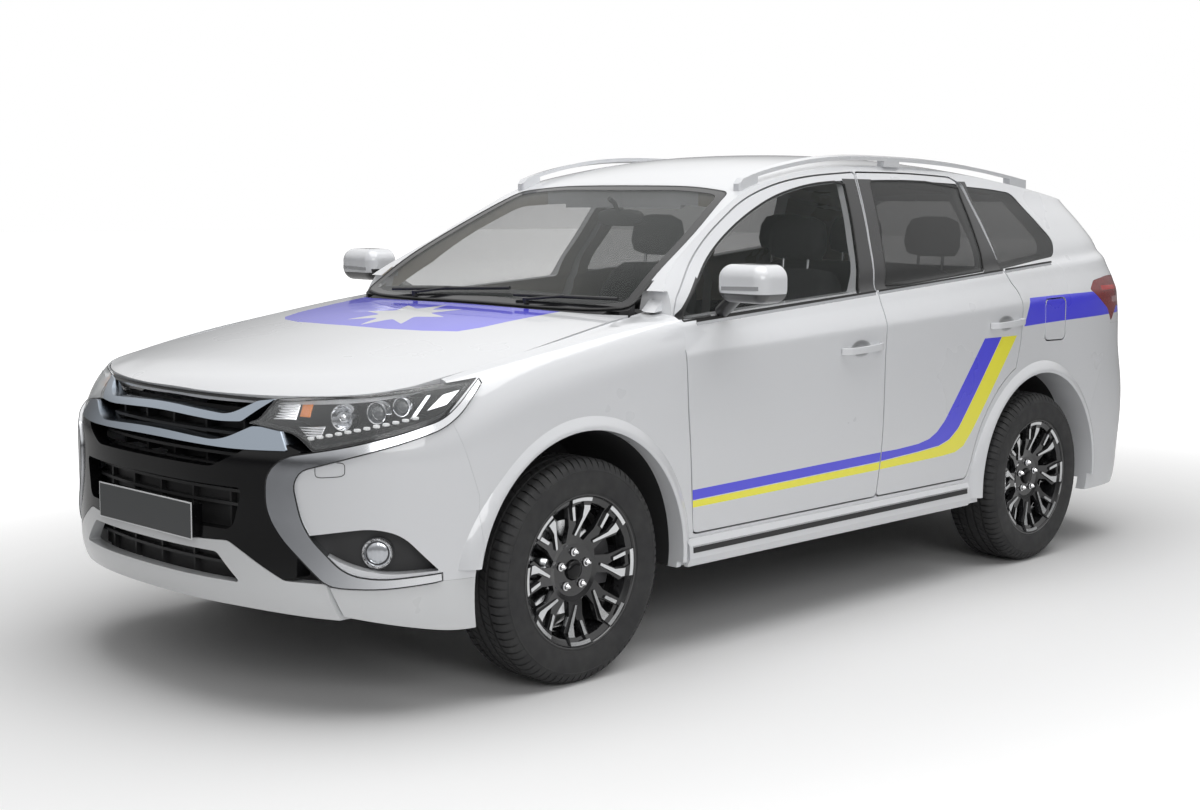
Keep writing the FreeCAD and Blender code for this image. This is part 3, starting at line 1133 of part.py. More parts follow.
# Roof rails, mirrors, wipers, side skirts.
RAIL_PLAN = [(546, -292, 8), (580, -292, 8), (588, -60), (600, 700), (588, 1640, 8), (554, 1640, 8),
             (566, 700),
             (554, -60)]
RAIL_ENDS = [(-320, 1540, 2), (-292, 1546, 2), (-238, 1596), (-110, 1640, 40), (150, 1712, 2),
             (150, 1900, 2), (-320, 1900, 2)]
RAIL_TAIL = [(1650, 1550, 2), (1635, 1590, 2), (1560, 1625, 30), (1300, 1700, 2), (1300, 1900, 2),
             (1700, 1900, 2), (1700, 1550, 2)]
RAIL_HEIGHT = size("rail_height")
rail = top_skin(-RAIL_HEIGHT).extrude(Vector(0, 0, -RAIL_HEIGHT - 20)).common(along_z(top_plan(RAIL_PLAN),
        1300, 1900))
rail_inner = top_skin(15 - RAIL_HEIGHT).extrude(Vector(0, 0, -RAIL_HEIGHT - 60))
rail_slot = block(0, FAR, -195, 1500, 1300, 1900).cut(block(0, FAR, 560, 660, 1300, 1900)).common(rail_inner)
rail = rail.cut([rail_slot, along_x(side_plan(RAIL_ENDS), 0, FAR), along_x(side_plan(RAIL_TAIL), 0, FAR)])
rail = rail.cut(below_top(-SEAM / 2).common(block(450, 700, -400, 1800, 1300, 1800)))

MIRROR = at(995, -726, 1221)
housing = block(MIRROR.x - 103, MIRROR.x + 103, MIRROR.y - 66, MIRROR.y + 62, MIRROR.z - 62, MIRROR.z + 62)
housing = housing.makeFillet(48, [e for e in housing.Edges if abs(e.tangentAt(0).y) > 0.9])
housing = housing.makeFillet(44, [e for e in housing.Edges if e.BoundBox.YMax < MIRROR.y - 65])
face_edge = [e for e in housing.Edges if e.BoundBox.YMin > MIRROR.y + 61]
housing = housing.makeFillet(7, face_edge)
foot = rod(24, at(812, -655, 1118), at(935, -705, 1190))
mirror = housing.fuse(foot).cut(outer)
mirror = max(mirror.Solids, key=lambda v: v.Volume)

wiper_parts = []
for x0, x1 in ((-480, 120), (180, 640)):
    a = at(x0, -1010, 0)
    b = at(x1, -975, 0)
    a.z = top_height(x0, -1010, held(ROOF_LINE, -1010)) + 12
    b.z = top_height(x1, -975, held(ROOF_LINE, -975)) + 12
    wiper_parts.append(rod(6, a, b))
    pivot = at((x0 + x1) / 2 - 150, -1030, 0)
    pivot.z = top_height(pivot.x, -1030, held(ROOF_LINE, -1030)) - 1
    wiper_parts.append(rod(9, pivot, pivot + Vector(0, -4, 20)))
    wiper_parts.append(rod(5, pivot + Vector(0, -4, 14), (a + b) * 0.5 + Vector(0, 0, 3)))
wipers = wiper_parts[0].multiFuse(wiper_parts[1:])

skirt_section = [Vector(858, -905, SILL - 2), Vector(884, -905, SILL - 2), Vector(893, -905, SILL + 24),
                 Vector(890, -905, SILL + 66),
                 Vector(878, -905, SILL + 88), Vector(858, -905, SILL + 88)]
skirt = Part.Face(Part.makePolygon(skirt_section + skirt_section[:1])).extrude(Vector(0, 1690, 0))
skirt = skirt.cut([outer, nose_outer, drum(FLARE_RADIUS - 20, FRONT_HUB, 0, FAR),
                   drum(FLARE_RADIUS - 20, REAR_HUB, 0, FAR)])
body_side = body_side.cut(drum(ARCH_RADIUS + TUB_SKIN + 1, FRONT_HUB, 0, 1000))
pieces["body_side"] = body_side.cut([through_side(FUEL_DOOR, GAP / 2).common(fascia_layer),
                                     flap_notch]).fuse(fuel_lugs)

nodes = {
    "floor_pan": pieces["floor"], "front_frame": pieces["frame"], "power_unit": power_unit,
    "rear_axle": rear_axle,
    "roof_panel": roof, "bonnet": bonnet, "tailgate": tailgate, "tailgate_glass": rear_glass,
    "windscreen": screen, "quarter_glass": both_sides(glass_quarter), "front_wings": both_sides(wing),
    "headlamps": both_sides(headlamp), "headlamp_lenses": both_sides(lens),
    "front_blades": both_sides(blade),
    "bumper_front": both_sides(bumper_corner), "chin": both_sides(chin_corner), "skid_plate": skid,
    "front_panel": panel, "grille_bars": bars, "grille": grille, "fog_lamps": both_sides(fog),
    "tail_lamps": both_sides(lamp), "bumper_rear": bumper_rear, "roof_rails": both_sides(rail),
    "side_skirts": both_sides(skirt), "wipers": wipers, "dashboard": dash, "steering_wheel": steering,
    "front_seats": seats, "rear_seat": bench, "fuel_flap": fuel_flap,
}
for stem in ("body_side", "door_front", "door_rear", "glass_front", "glass_rear"):
    nodes[stem + "_left"] = pieces[stem]
    nodes[stem + "_right"] = mirrored(pieces[stem] if stem != "body_side" else body_side)
for stem, shape in (("mirror", mirror), ("knuckle", knuckle)):
    nodes[stem + "_left"] = shape
    nodes[stem + "_right"] = mirrored(shape)
for label, shape in nodes.items():
    add(label, shape)

# The same wheel and tyre stand at all four corners. Those on the right are turned about, not mirrored.
OUTWARD = Rotation(Vector(0, 1, 0), 90)
ABOUT = Rotation(Vector(0, 0, 1), 180)
WHEEL_PLACES = {}
for end, hub_y in (("front", FRONT_AXLE), ("rear", REAR_AXLE)):
    WHEEL_PLACES[end + "_left"] = Placement(Vector(TRACK, hub_y, AXLE_HEIGHT), OUTWARD)
    WHEEL_PLACES[end + "_right"] = Placement(Vector(-TRACK, hub_y, AXLE_HEIGHT), ABOUT * OUTWARD)
for stem, made in (("rim_", wheel_casting("rim_front_left")), ("tyre_", tyre_carcass("tyre_front_left"))):
    doc.recompute()
    casting = made.Shape.copy()
    parts.append(made)
    for corner in list(WHEEL_PLACES)[1:]:
        add(stem + corner, casting)
    for corner, item in zip(WHEEL_PLACES, parts[-4:]):
        item.Placement = WHEEL_PLACES[corner]

os.makedirs("parts", exist_ok=True)
doc.recompute()
for item in parts:
    faults = [flag for flag in item.State if flag in ("Invalid", "Error")]
    if faults or item.Shape.isNull() or not item.Shape.isValid():
        raise ValueError(f"{item.Label} has no valid shape")
    item.Shape.exportStep(f"parts/{item.Label}.step")
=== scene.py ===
"""Looks of the police patrol car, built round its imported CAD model.

Units are metres. X points to the car's left, Y to its rear and Z up.
"""
import bpy
import bmesh
import math
from mathutils import Matrix, Vector
from mathutils.bvhtree import BVHTree


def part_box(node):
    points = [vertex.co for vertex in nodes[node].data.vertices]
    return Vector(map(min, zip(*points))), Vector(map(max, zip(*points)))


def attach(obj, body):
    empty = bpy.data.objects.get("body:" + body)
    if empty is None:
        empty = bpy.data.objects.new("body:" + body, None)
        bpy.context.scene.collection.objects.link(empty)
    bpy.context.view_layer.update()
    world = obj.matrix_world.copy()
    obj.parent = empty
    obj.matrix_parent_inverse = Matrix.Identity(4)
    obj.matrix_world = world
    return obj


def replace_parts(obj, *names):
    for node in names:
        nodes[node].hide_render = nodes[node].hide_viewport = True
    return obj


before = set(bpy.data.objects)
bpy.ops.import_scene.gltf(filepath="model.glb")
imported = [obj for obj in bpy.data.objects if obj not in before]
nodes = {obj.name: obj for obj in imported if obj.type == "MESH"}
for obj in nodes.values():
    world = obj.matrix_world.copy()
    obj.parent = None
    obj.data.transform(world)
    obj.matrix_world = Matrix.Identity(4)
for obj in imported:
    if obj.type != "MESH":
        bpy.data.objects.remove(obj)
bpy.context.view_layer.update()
WELD = 0.00002  # corners closer than this are joined


def operator(operation, swapped=False):
    """An operator between values, which adds the node that works it out."""
    def work(self, other=None):
        inputs = (other, self) if swapped else (self, other)
        return self.node("ShaderNodeMath", *inputs, operation=operation)
    return work


class Shade:
    """One value inside a material. Sums, products and comparisons of values add the nodes that work them out."""
    __add__, __radd__ = operator("ADD"), operator("ADD", True)
    __sub__, __rsub__ = operator("SUBTRACT"), operator("SUBTRACT", True)
    __mul__ = __rmul__ = operator("MULTIPLY")
    __truediv__, __pow__ = operator("DIVIDE"), operator("POWER")
    __gt__, __lt__ = operator("GREATER_THAN"), operator("LESS_THAN")
    __abs__, sine, fraction = operator("ABSOLUTE"), operator("SINE"), operator("FRACT")
    either, both, angle_over = operator("MAXIMUM"), operator("MINIMUM"), operator("ARCTAN2")

    def __init__(self, tree, socket):
        self.tree = tree
        self.socket = socket

    def node(self, kind, *inputs, out=0, **settings):
        """Any node: its inputs in order or by name, and its own settings."""
        made = self.tree.nodes.new(kind)
        named = settings.pop("named", {})
        for key, value in settings.items():
            setattr(made, key, value)
        for place, value in list(enumerate(inputs)) + list(named.items()):
            if isinstance(value, Shade):
                self.tree.links.new(value.socket, made.inputs[place])
            elif value is not None:
                made.inputs[place].default_value = value
        return Shade(self.tree, made.outputs[out])

    def off(self):
        """One where this is zero, and zero where this is one."""
        return 1.0 - self

    def step(self, low, high):
        """A smooth step from 0 at low to 1 at high."""
        return self.node("ShaderNodeMapRange", self, low, high, 0.0, 1.0, interpolation_type="SMOOTHSTEP")

    def edge(self, soft=0.0006):
        """One where this is above zero, and zero below, with an edge that is soft on each side."""
        return self.step(-soft, soft)

    def inside(self, low, high, soft=0.0006):
        """One where this lies between low and high, which may change over the object."""
        return (self - low).edge(soft) * (high - self).edge(soft)

    def ramp(self, low, high, a, b):
        """From a at low to b at high."""
        return self.node("ShaderNodeMapRange", self, low, high, a, b)

    def between(self, a, b):
        """Number a where this is zero, and number b where this is one."""
        return self.ramp(0.0, 1.0, a, b)

    def curve(self, *points):
        """A curve drawn through (value, reading) points, as straight pieces."""
        low, high = points[0][0], points[-1][0]
        margin = 0.001
        bottom = min(p[1] for p in points) - margin
        top = max(p[1] for p in points) + margin
        made = self.tree.nodes.new("ShaderNodeFloatCurve")
        line = made.mapping.curves[0]
        spots = [((x - low) / (high - low), (y - bottom) / (top - bottom)) for x, y in points]
        line.points[0].location = spots[0]
        line.points[1].location = spots[-1]
        for spot in spots[1:-1]:
            line.points.new(*spot)
        for point in line.points:
            point.handle_type = "VECTOR"
        made.mapping.update()
        self.tree.links.new(((self - low) / (high - low)).socket, made.inputs["Value"])
        return Shade(self.tree, made.outputs[0]) * (top - bottom) + bottom

    def mix(self, a, b):
        """Colour a where this is zero, and colour b where this is one."""
        return self.node("ShaderNodeMix", named={0: self, 6: colour(a), 7: colour(b)}, out=2, data_type="RGBA")


def colour(value):
    """A colour of three parts gets a fourth one; anything else stays."""
    return (*value, 1.0) if isinstance(value, (tuple, list)) and len(value) == 3 else value


class Finish:
    """A material whose look is worked out from the place on the object."""

    def __init__(self, name, **plain):
        self.material = bpy.data.materials.new(name)
        self.material.use_nodes = True
        tree = self.material.node_tree
        self.shader = tree.nodes["Principled BSDF"]
        self.tree = tree
        start = Shade(tree, None)
        self.object = start.node("ShaderNodeTexCoord", out=3)
        self.x, self.y, self.z = self.parts(self.object)
        self.set(**plain)

    def parts(self, vector):
        """The three numbers of a vector."""
        return [vector.node("ShaderNodeSeparateXYZ", vector, out=k) for k in range(3)]

    def set(self, **values):
        """Sets inputs of the shader, each to a plain value or to a Shade."""
        for key, value in values.items():
            socket = self.shader.inputs[key.replace("_", " ").title().replace("Ior", "IOR")]
            if isinstance(value, Shade):
                self.tree.links.new(value.socket, socket)
            else:
                socket.default_value = colour(value)

    def noise(self, scale, detail=3.0):
        """Fine noise; a larger scale is finer."""
        return self.object.node("ShaderNodeTexNoise", named={"Vector": self.object, "Scale": scale, "Detail": detail})

    def cells(self, scale):
        """Grain: the distance to the nearest of many scattered points."""
        return self.object.node("ShaderNodeTexVoronoi", named={"Vector": self.object, "Scale": scale})

    def facing(self):
        """The three parts of the surface's own direction, in the piece's own axes."""
        normal = self.object.node("ShaderNodeVectorTransform", self.object.node("ShaderNodeNewGeometry", out=1),
                                  vector_type="NORMAL", convert_from="WORLD", convert_to="OBJECT")
        return self.parts(normal)

    def bump(self, height, depth, strength=1.0):
        """Raises the surface by height times depth, in metres."""
        made = self.object.node("ShaderNodeBump", named={"Height": height, "Distance": depth, "Strength": strength})
        self.tree.links.new(made.socket, self.shader.inputs["Normal"])


def simple(name, base, rough, **more):
    """A finish of one colour."""
    return Finish(name, Base_Color=base, Roughness=rough, **more)


def metal(name, base, rough):
    return simple(name, base, rough, Metallic=1.0)


def dress(finish, *names):
    """Puts a finish on CAD nodes."""
    for name in names:
        for place in range(len(nodes[name].data.materials)):
            nodes[name].data.materials[place] = finish.material


def sides(stem):
    """The names of a left and a right piece."""
    return stem + "_left", stem + "_right"


SIDES = (("left", 1), ("right", -1))  # the word and the sign of x


class Form:
    """Corners and faces of one piece, gathered before the piece is made."""

    def __init__(self):
        self.corners = []
        self.faces = []
        self.kinds = []

    def add(self, corners, faces, kind=0):
        """Adds faces; kind is the number of their finish, or a list of one number for each face."""
        base = len(self.corners)
        self.corners += [Vector(c) for c in corners]
        self.faces += [[base + i for i in face] for face in faces]
        self.kinds += kind if isinstance(kind, list) else [kind] * len(faces)
        return self

    def skin(self, rings, closed=True, ends=True, kind=0):
        """Skins a row of rings that have equal counts of corners."""
        count = len(rings[0])
        corners = [c for ring in rings for c in ring]
        faces = []
        around = count if closed else count - 1
        for k in range(len(rings) - 1):
            for i in range(around):
                j = (i + 1) % count
                faces.append([k * count + i, k * count + j, (k + 1) * count + j, (k + 1) * count + i])
        if ends and closed:
            faces.append(list(range(count))[::-1])
            faces.append([(len(rings) - 1) * count + i for i in range(count)])
        return self.add(corners, faces, kind)

    def turned(self, section, centre, axis, steps=32, kind=0):
        """A section of (radius, distance along) pairs turned about an axis."""
        axis = Vector(axis).normalized()
        side = axis.orthogonal().normalized()
        other = axis.cross(side)
        rings = []
        for k in range(steps):
            a = math.tau * k / steps
            out_way = side * math.cos(a) + other * math.sin(a)
            rings.append([Vector(centre) + out_way * r + axis * d for r, d in section])
        rings.append(rings[0])
        return self.skin(rings, ends=False, kind=kind)

    def swept(self, path, section, across=None, facing=None, closed=False, kind=0):
        """Carries a section of (sideways, upward) pairs along a path. Sideways is the direction across, or else
        square to the path and to the direction facing."""
        rings = []
        count = len(path)
        for k, spot in enumerate(path):
            before = path[(k - 1) % count] if closed or k else path[0]
            after = path[(k + 1) % count] if closed or k < count - 1 else path[-1]
            along = (after - before).normalized()
            wide = Vector(across) if facing is None else along.cross(Vector(facing))
            wide = (wide - along * wide.dot(along)).normalized()
            tall = along.cross(wide)
            rings.append([spot + wide * u + tall * v for u, v in section])
        if closed:
            rings.append(rings[0])
        return self.skin(rings, ends=not closed, kind=kind)

    def slab(self, outline, depth, kind=0, edge=0.0):
        """A plate with its far face at depth from the outline, and its near edge eased."""
        depth = Vector(depth)
        points = [Vector(p) for p in outline]
        middle = sum(points, Vector()) / len(points)
        rings = [[p + depth for p in points], points]
        if edge:
            inset = [p + (middle - p).normalized() * edge - depth.normalized() * edge * 0.6 for p in points]
            rings.append(inset)
        return self.skin(rings, kind=kind)

    def brick(self, low, high, at=(0, 0, 0), kind=0, edge=0.002):
        """A rounded-edged bar between two corners, which are counted from the place at."""
        low = Vector(at) + Vector(low)
        high = Vector(at) + Vector(high)
        half = (high - low) / 2
        middle = (high + low) / 2
        edge = min(edge, min(half) * 0.9)
        rings = []
        levels = [(-half.z, edge), (-half.z + edge, 0.0), (half.z - edge, 0.0), (half.z, edge)]
        for z, inset in levels:
            x = half.x - inset
            y = half.y - inset
            rings.append([middle + Vector(p) for p in (
                (x - edge, y, z), (x, y - edge, z), (x, edge - y, z), (x - edge, -y, z),
                (edge - x, -y, z), (-x, edge - y, z), (-x, y - edge, z), (edge - x, y, z))])
        return self.skin(rings, kind=kind)

    def mirrored(self):
        """The same form on the car's other side."""
        other = Form()
        other.corners = [Vector((-c.x, c.y, c.z)) for c in self.corners]
        other.faces = [face[::-1] for face in self.faces]
        other.kinds = list(self.kinds)
        return other

    def make(self, name, finishes, body, angle=32, solid=True):
        """Makes the piece and fixes it on a body. Edges sharper than angle stay sharp."""
        mesh = bpy.data.meshes.new(name)
        mesh.from_pydata(self.corners, [], self.faces)
        finishes = finishes if isinstance(finishes, (list, tuple)) else [finishes]
        for finish in finishes:
            mesh.materials.append(finish.material)
        mesh.polygons.foreach_set("material_index", self.kinds)
        made = bmesh.new()
        made.from_mesh(mesh)
        bmesh.ops.remove_doubles(made, verts=made.verts, dist=WELD)
        if solid:
            bmesh.ops.recalc_face_normals(made, faces=made.faces)
        made.to_mesh(mesh)
        made.free()
        mesh.set_sharp_from_angle(angle=math.radians(angle))
        item = bpy.data.objects.new(name, mesh)
        bpy.context.scene.collection.objects.link(item)
        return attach(item, body)


def pair(form, name, finishes, body, **settings):
    """Makes a form on the left and its mirror image on the right. {} in body stands for the side's letter."""
    for word, half in (("left", form), ("right", form.mirrored())):
        half.make(f"{name}_{word}", finishes, body.format(word[0]), **settings)


def circle(radius):
    return rounded(12, radius, radius, 1.0, 1.0)


def rounded(count, wide, tall, power_u, power_v):
    """A rounded rectangle round the origin as (sideways, upward) pairs. Lower powers are squarer."""
    corners = []
    for k in range(count):
        a = math.tau * k / count
        corners.append((math.copysign(abs(math.cos(a)) ** power_u, math.cos(a)) * wide,
                        math.copysign(abs(math.sin(a)) ** power_v, math.sin(a)) * tall))
    return corners


def strip_section(foot, low, top, high):
    """The section of a flat strip that is 2 foot wide at level low and 2 top wide at level high."""
    return [(-foot, low), (foot, low), (top, high), (-top, high)]


def eased(points, steps):
    """A smooth line through a few points."""
    points = [Vector(p) for p in points]
    line = []
    ends = [points[0] * 2 - points[1]] + points + [points[-1] * 2 - points[-2]]
    for a, b, c, d in zip(ends, ends[1:], ends[2:], ends[3:]):
        for k in range(steps):
            t = k / steps
            line.append(0.5 * (b * 2 + (c - a) * t + (a * 2 - b * 5 + c * 4 - d) * t * t
                               + (b * 3 - a - c * 3 + d) * t * t * t))
    return line + [points[-1]]


def skin_of(*names):
    """The surface of some CAD pieces, to seat others on."""
    corners = []
    faces = []
    for name in names:
        base = len(corners)
        mesh = nodes[name].data
        corners += [v.co.copy() for v in mesh.vertices]
        faces += [[base + i for i in p.vertices] for p in mesh.polygons]
    return BVHTree.FromPolygons(corners, faces)


def meet(surface, start, way):
    """Where a line from start along way first meets a surface, or None."""
    return surface.ray_cast(Vector(start), Vector(way))[0]


def seat_side(surface, y, z):
    """The place on the car's left side at a distance along and a height, or None beside the surface."""
    return meet(surface, (1.2, y, z), (-1, 0, 0))


def spread(start, end, steps):
    """Evenly spaced pairs of numbers from one pair to another, both of them included."""
    return [tuple(a + (b - a) * k / steps for a, b in zip(start, end)) for k in range(steps + 1)]


def side_row(surface, start, end, steps):
    """Places along the car's left side, from one (distance along, height) pair to another."""
    spots = [seat_side(surface, y, z) for y, z in spread(start, end, steps)]
    return [spot for spot in spots if spot is not None]


def borders(name, outward):
    """The outlines of the CAD face of a node that looks most along a direction, the longest first."""
    shape = bmesh.new()
    shape.from_mesh(nodes[name].data)
    outward = Vector(outward).normalized()
    taken = set()
    best_score, best = 0, []
    for seed in shape.faces:
        if seed in taken:
            continue
        taken.add(seed)
        island = [seed]
        for face in island:
            for edge in face.edges:
                for near in edge.link_faces:
                    if near not in taken:
                        taken.add(near)
                        island.append(near)
        score = sum(f.normal.dot(outward) * f.calc_area() for f in island)
        if score > best_score:
            best_score, best = score, island
    inside = set(best)
    loose = dict.fromkeys(e for f in best for e in f.edges if sum(n in inside for n in e.link_faces) == 1)
    loops = []
    while loose:
        edge = next(iter(loose))
        start, spot = edge.verts
        loop = [start.co.copy()]
        while edge is not None:
            del loose[edge]
            loop.append(spot.co.copy())
            edge = next((e for e in spot.link_edges if e in loose), None)
            spot = edge.other_vert(spot) if edge is not None else None
        loops.append(loop[:-1])
    shape.free()
    return sorted(loops, key=len, reverse=True)


def thinned(loop, gap):
    """The same closed line with corners at least a gap apart."""
    kept = [loop[0]]
    for spot in loop[1:]:
        if (spot - kept[-1]).length >= gap:
            kept.append(spot)
    return kept


# Camera. It stands at the car's front left, a little above the bonnet, as the photographer's did.
PHOTO_WIDTH = 1200
FOCAL_LENGTH = 1706.5  # in pixels of the photograph
SENSOR_WIDTH = 36.0
camera = bpy.data.objects.new("camera", bpy.data.cameras.new("camera"))
bpy.context.scene.collection.objects.link(camera)
camera.data.sensor_width = SENSOR_WIDTH
camera.data.lens = SENSOR_WIDTH * FOCAL_LENGTH / PHOTO_WIDTH
camera.data.clip_end = 200.0
turn = math.radians(44.35)
rise = math.radians(6.83)
roll = math.radians(0.48)
back = Vector((math.sin(turn) * math.cos(rise), -math.cos(turn) * math.cos(rise), math.sin(rise)))
level_right = (-back).cross(Vector((0, 0, 1))).normalized()
level_up = level_right.cross(-back)
right = level_right * math.cos(roll) + level_up * math.sin(roll)
up = level_up * math.cos(roll) - level_right * math.sin(roll)
pose = Matrix((right, up, back)).transposed().to_4x4()
pose.translation = Vector((4.496, -4.998, 1.4824))
camera.matrix_world = pose
bpy.context.scene.camera = camera
bpy.context.scene.view_settings.view_transform = "Standard"
bpy.context.scene.view_settings.look = "None"

# Studio floor: one plain pale sheet that the car stands on. It keeps the soft shadow under the car, and fades to
# the white of the room away from it.
FLOOR_HALF = 60
floor_finish = simple("studio_floor", (0.80, 0.80, 0.80), 0.9, Emission_Strength=1.0)
away = (floor_finish.x * floor_finish.x + floor_finish.y * floor_finish.y * 0.45) ** 0.5
watched = floor_finish.object.node("ShaderNodeLightPath", out=0)
floor_finish.set(Emission_Color=(away.step(1.3, 5.2) * watched).mix((0, 0, 0), (1, 1, 1)))
floor_mesh = bpy.data.meshes.new("studio_floor")
floor_mesh.from_pydata([(x * FLOOR_HALF, y * FLOOR_HALF, 0) for x, y in ((-1, -1), (1, -1), (1, 1), (-1, 1))],
                       [], [(0, 1, 2, 3)])
floor = bpy.data.objects.new("studio_floor", floor_mesh)
bpy.context.scene.collection.objects.link(floor)
floor_mesh.materials.append(floor_finish.material)

# Light: a white room, with one large soft panel overhead and a weaker one in front of the car. The room is white
# where the camera sees it, darker towards the horizon in reflections, and weak as a light.
ROOM_LIGHT = 0.22
world = bpy.data.worlds.new("studio")
bpy.context.scene.world = world
world.use_nodes = True
sky = Shade(world.node_tree, None)
height_seen = sky.node("ShaderNodeSeparateXYZ", sky.node("ShaderNodeTexCoord", out=0), out=2)
seen = sky.node("ShaderNodeLightPath", out=0).either(sky.node("ShaderNodeLightPath", out=6))
mirrored_room = height_seen.step(0.02, 0.45).between(0.18, 1.05)
room = world.node_tree.nodes["Background"]
room.inputs["Color"].default_value = (1.0, 1.0, 1.0, 1.0)
glossy = sky.node("ShaderNodeLightPath", out=3)
strength = seen + (1.0 - seen) * (glossy * mirrored_room + (1.0 - glossy) * ROOM_LIGHT)
world.node_tree.links.new(strength.socket, room.inputs["Strength"])


def panel(name, place, target, width, height, power):
    """A soft rectangular studio lamp."""
    lamp = bpy.data.lights.new(name, "AREA")
    lamp.shape = "RECTANGLE"
    lamp.size = width
    lamp.size_y = height
    lamp.energy = power
    made = bpy.data.objects.new(name, lamp)
    bpy.context.scene.collection.objects.link(made)
    made.location = place
    made.rotation_euler = (Vector(target) - Vector(place)).to_track_quat("-Z", "Y").to_euler()


panel("overhead", (1.0, -0.5, 6.5), (0, 0, 0), 7.0, 7.0, 400)
panel("front_left", (7.0, -5.0, 4.0), (0.5, -0.5, 0.8), 5.0, 3.0, 160)


# Body paint. Pressed steel and plastic panels in pearl white lacquer, with blue and yellow foil bands
# along the doors and rear wing and a blue foil patch on the bonnet.
BLUE = (0.045, 0.038, 0.78)
YELLOW = (0.94, 0.88, 0.012)
WHITE = (0.68, 0.69, 0.71)
FOIL_BLACK = (0.006, 0.006, 0.007)
DARK_PLASTIC = (0.022, 0.022, 0.023)
COAT = 0.85


def lacquer(name, base):
    """Lacquered paint: a faint orange-peel ripple, fine flake and slightly uneven gloss."""
    made = Finish(name, Base_Color=base, Coat_Roughness=0.03, Coat_IOR=1.6)
    flake = made.noise(1400.0, 1.0)
    made.set(Coat_Weight=COAT, Roughness=made.noise(2.2, 4.0).ramp(0.3, 0.7, 0.26, 0.34))
    made.bump(made.noise(330.0, 2.0) * 0.6 + flake * 0.4, 0.00006, 0.5)
    return made


plain_paint = lacquer("white_paint", WHITE)

side_paint = lacquer("side_paint", WHITE)
facing_x = abs(side_paint.facing()[0]).step(0.45, 0.6)
along = side_paint.y
height = side_paint.z
blue_top = along.curve((-0.95, 0.546), (0.16, 0.569), (0.29, 0.570), (0.427, 0.577), (0.50, 0.589),
                       (0.55, 0.611), (0.60, 0.650), (0.864, 0.954), (0.95, 1.053), (1.2, 1.34))
between_bands = along.curve((-0.95, 0.512), (0.163, 0.535), (0.429, 0.547), (0.57, 0.556),
                            (0.64, 0.574), (0.70, 0.613), (0.989, 0.955), (1.2, 1.205))
yellow_low = along.curve((-0.95, 0.487), (0.16, 0.504), (0.60, 0.513), (0.69, 0.519), (0.745, 0.538),
                         (0.80, 0.592), (1.108, 0.955), (1.2, 1.065))
band_ends = (along > -0.8765 + (0.548 - height) * -0.19) * (height < 0.955) * (abs(side_paint.x) > 0.842)
blue = height.inside(between_bands, blue_top)
yellow = (between_bands - height).step(0.0022, 0.0034) * (height - yellow_low).edge()
quarter = height.inside(0.9835 + (along - 1.0) * 0.0321, 1.102 + (along - 1.219) * 0.0223)
quarter = quarter * (along - (1.167 + (height - 0.996) * 0.49)).edge()
paint_mix = (blue * band_ends).either(quarter) * facing_x
banded = paint_mix.mix((yellow * band_ends * facing_x).mix(WHITE, YELLOW), BLUE)

bonnet_paint = lacquer("bonnet_paint", WHITE)
across = bonnet_paint.x
along = bonnet_paint.y
left_edge = along.curve((-1.6, 0.30), (-1.50, 0.34), (-1.44, 0.385), (-1.37, 0.415), (-1.20, 0.435),
                        (-0.9, 0.470))
right_edge = along.curve((-1.6, -0.25), (-1.50, -0.40), (-1.465, -0.52), (-1.42, -0.585),
                         (-1.34, -0.615), (-1.20, -0.625), (-0.9, -0.650))
front_edge = across.curve((-0.7, -1.40), (-0.6, -1.455), (-0.45, -1.497), (-0.20, -1.516),
                          (0.10, -1.512), (0.26, -1.485), (0.36, -1.452), (0.5, -1.40))
patch = across.inside(right_edge, left_edge, 0.001) * (along - front_edge).edge(0.001)
patch = patch * (bonnet_paint.facing()[2] > 0.3)
star_x = (across + 0.055) / 0.205
star_y = (along + 1.300) / 0.190
radius = (star_x * star_x + star_y * star_y) ** 0.5
angle = star_y.angle_over(star_x)
wedge = abs((angle / (math.pi / 4) + 8.0).fraction() - 0.5) * 2.0
star = ((0.52 + wedge * wedge * 0.48) - radius).edge(0.006)
bonnet_paint.set(Base_Color=(patch * star.off()).mix(WHITE, BLUE))

dress(plain_paint, "front_wings", "tailgate", "bumper_front", "side_skirts", "roof_rails")
dress(side_paint, *sides("door_front"), *sides("door_rear"), *sides("body_side"), "fuel_flap")
dress(bonnet_paint, "bonnet")

# Window glass. Curved laminated and tempered sheets, bonded or held in rubber channels; the rear half of
# the car has dark privacy glass.
def window(name, tint, clear):
    """A pane that is clear from straight ahead and mirrors at a slant; clear is how much of it shows at least."""
    made = Finish(name, Base_Color=tint, Roughness=0.015, IOR=1.52)
    grazing = made.object.node("ShaderNodeLayerWeight", 0.5, out=1)
    made.set(Alpha=(grazing ** 3.0).between(clear, 1.0))
    return made


clear_glass = window("clear_glass", (0.030, 0.036, 0.034), 0.09)
dark_glass = window("privacy_glass", (0.012, 0.013, 0.013), 0.50)
dress(clear_glass, "windscreen", *sides("glass_front"))
dress(dark_glass, *sides("glass_rear"), "quarter_glass", "tailgate_glass")
dress(window("lamp_lens", (0.75, 0.77, 0.78), 0.07), "headlamp_lenses")

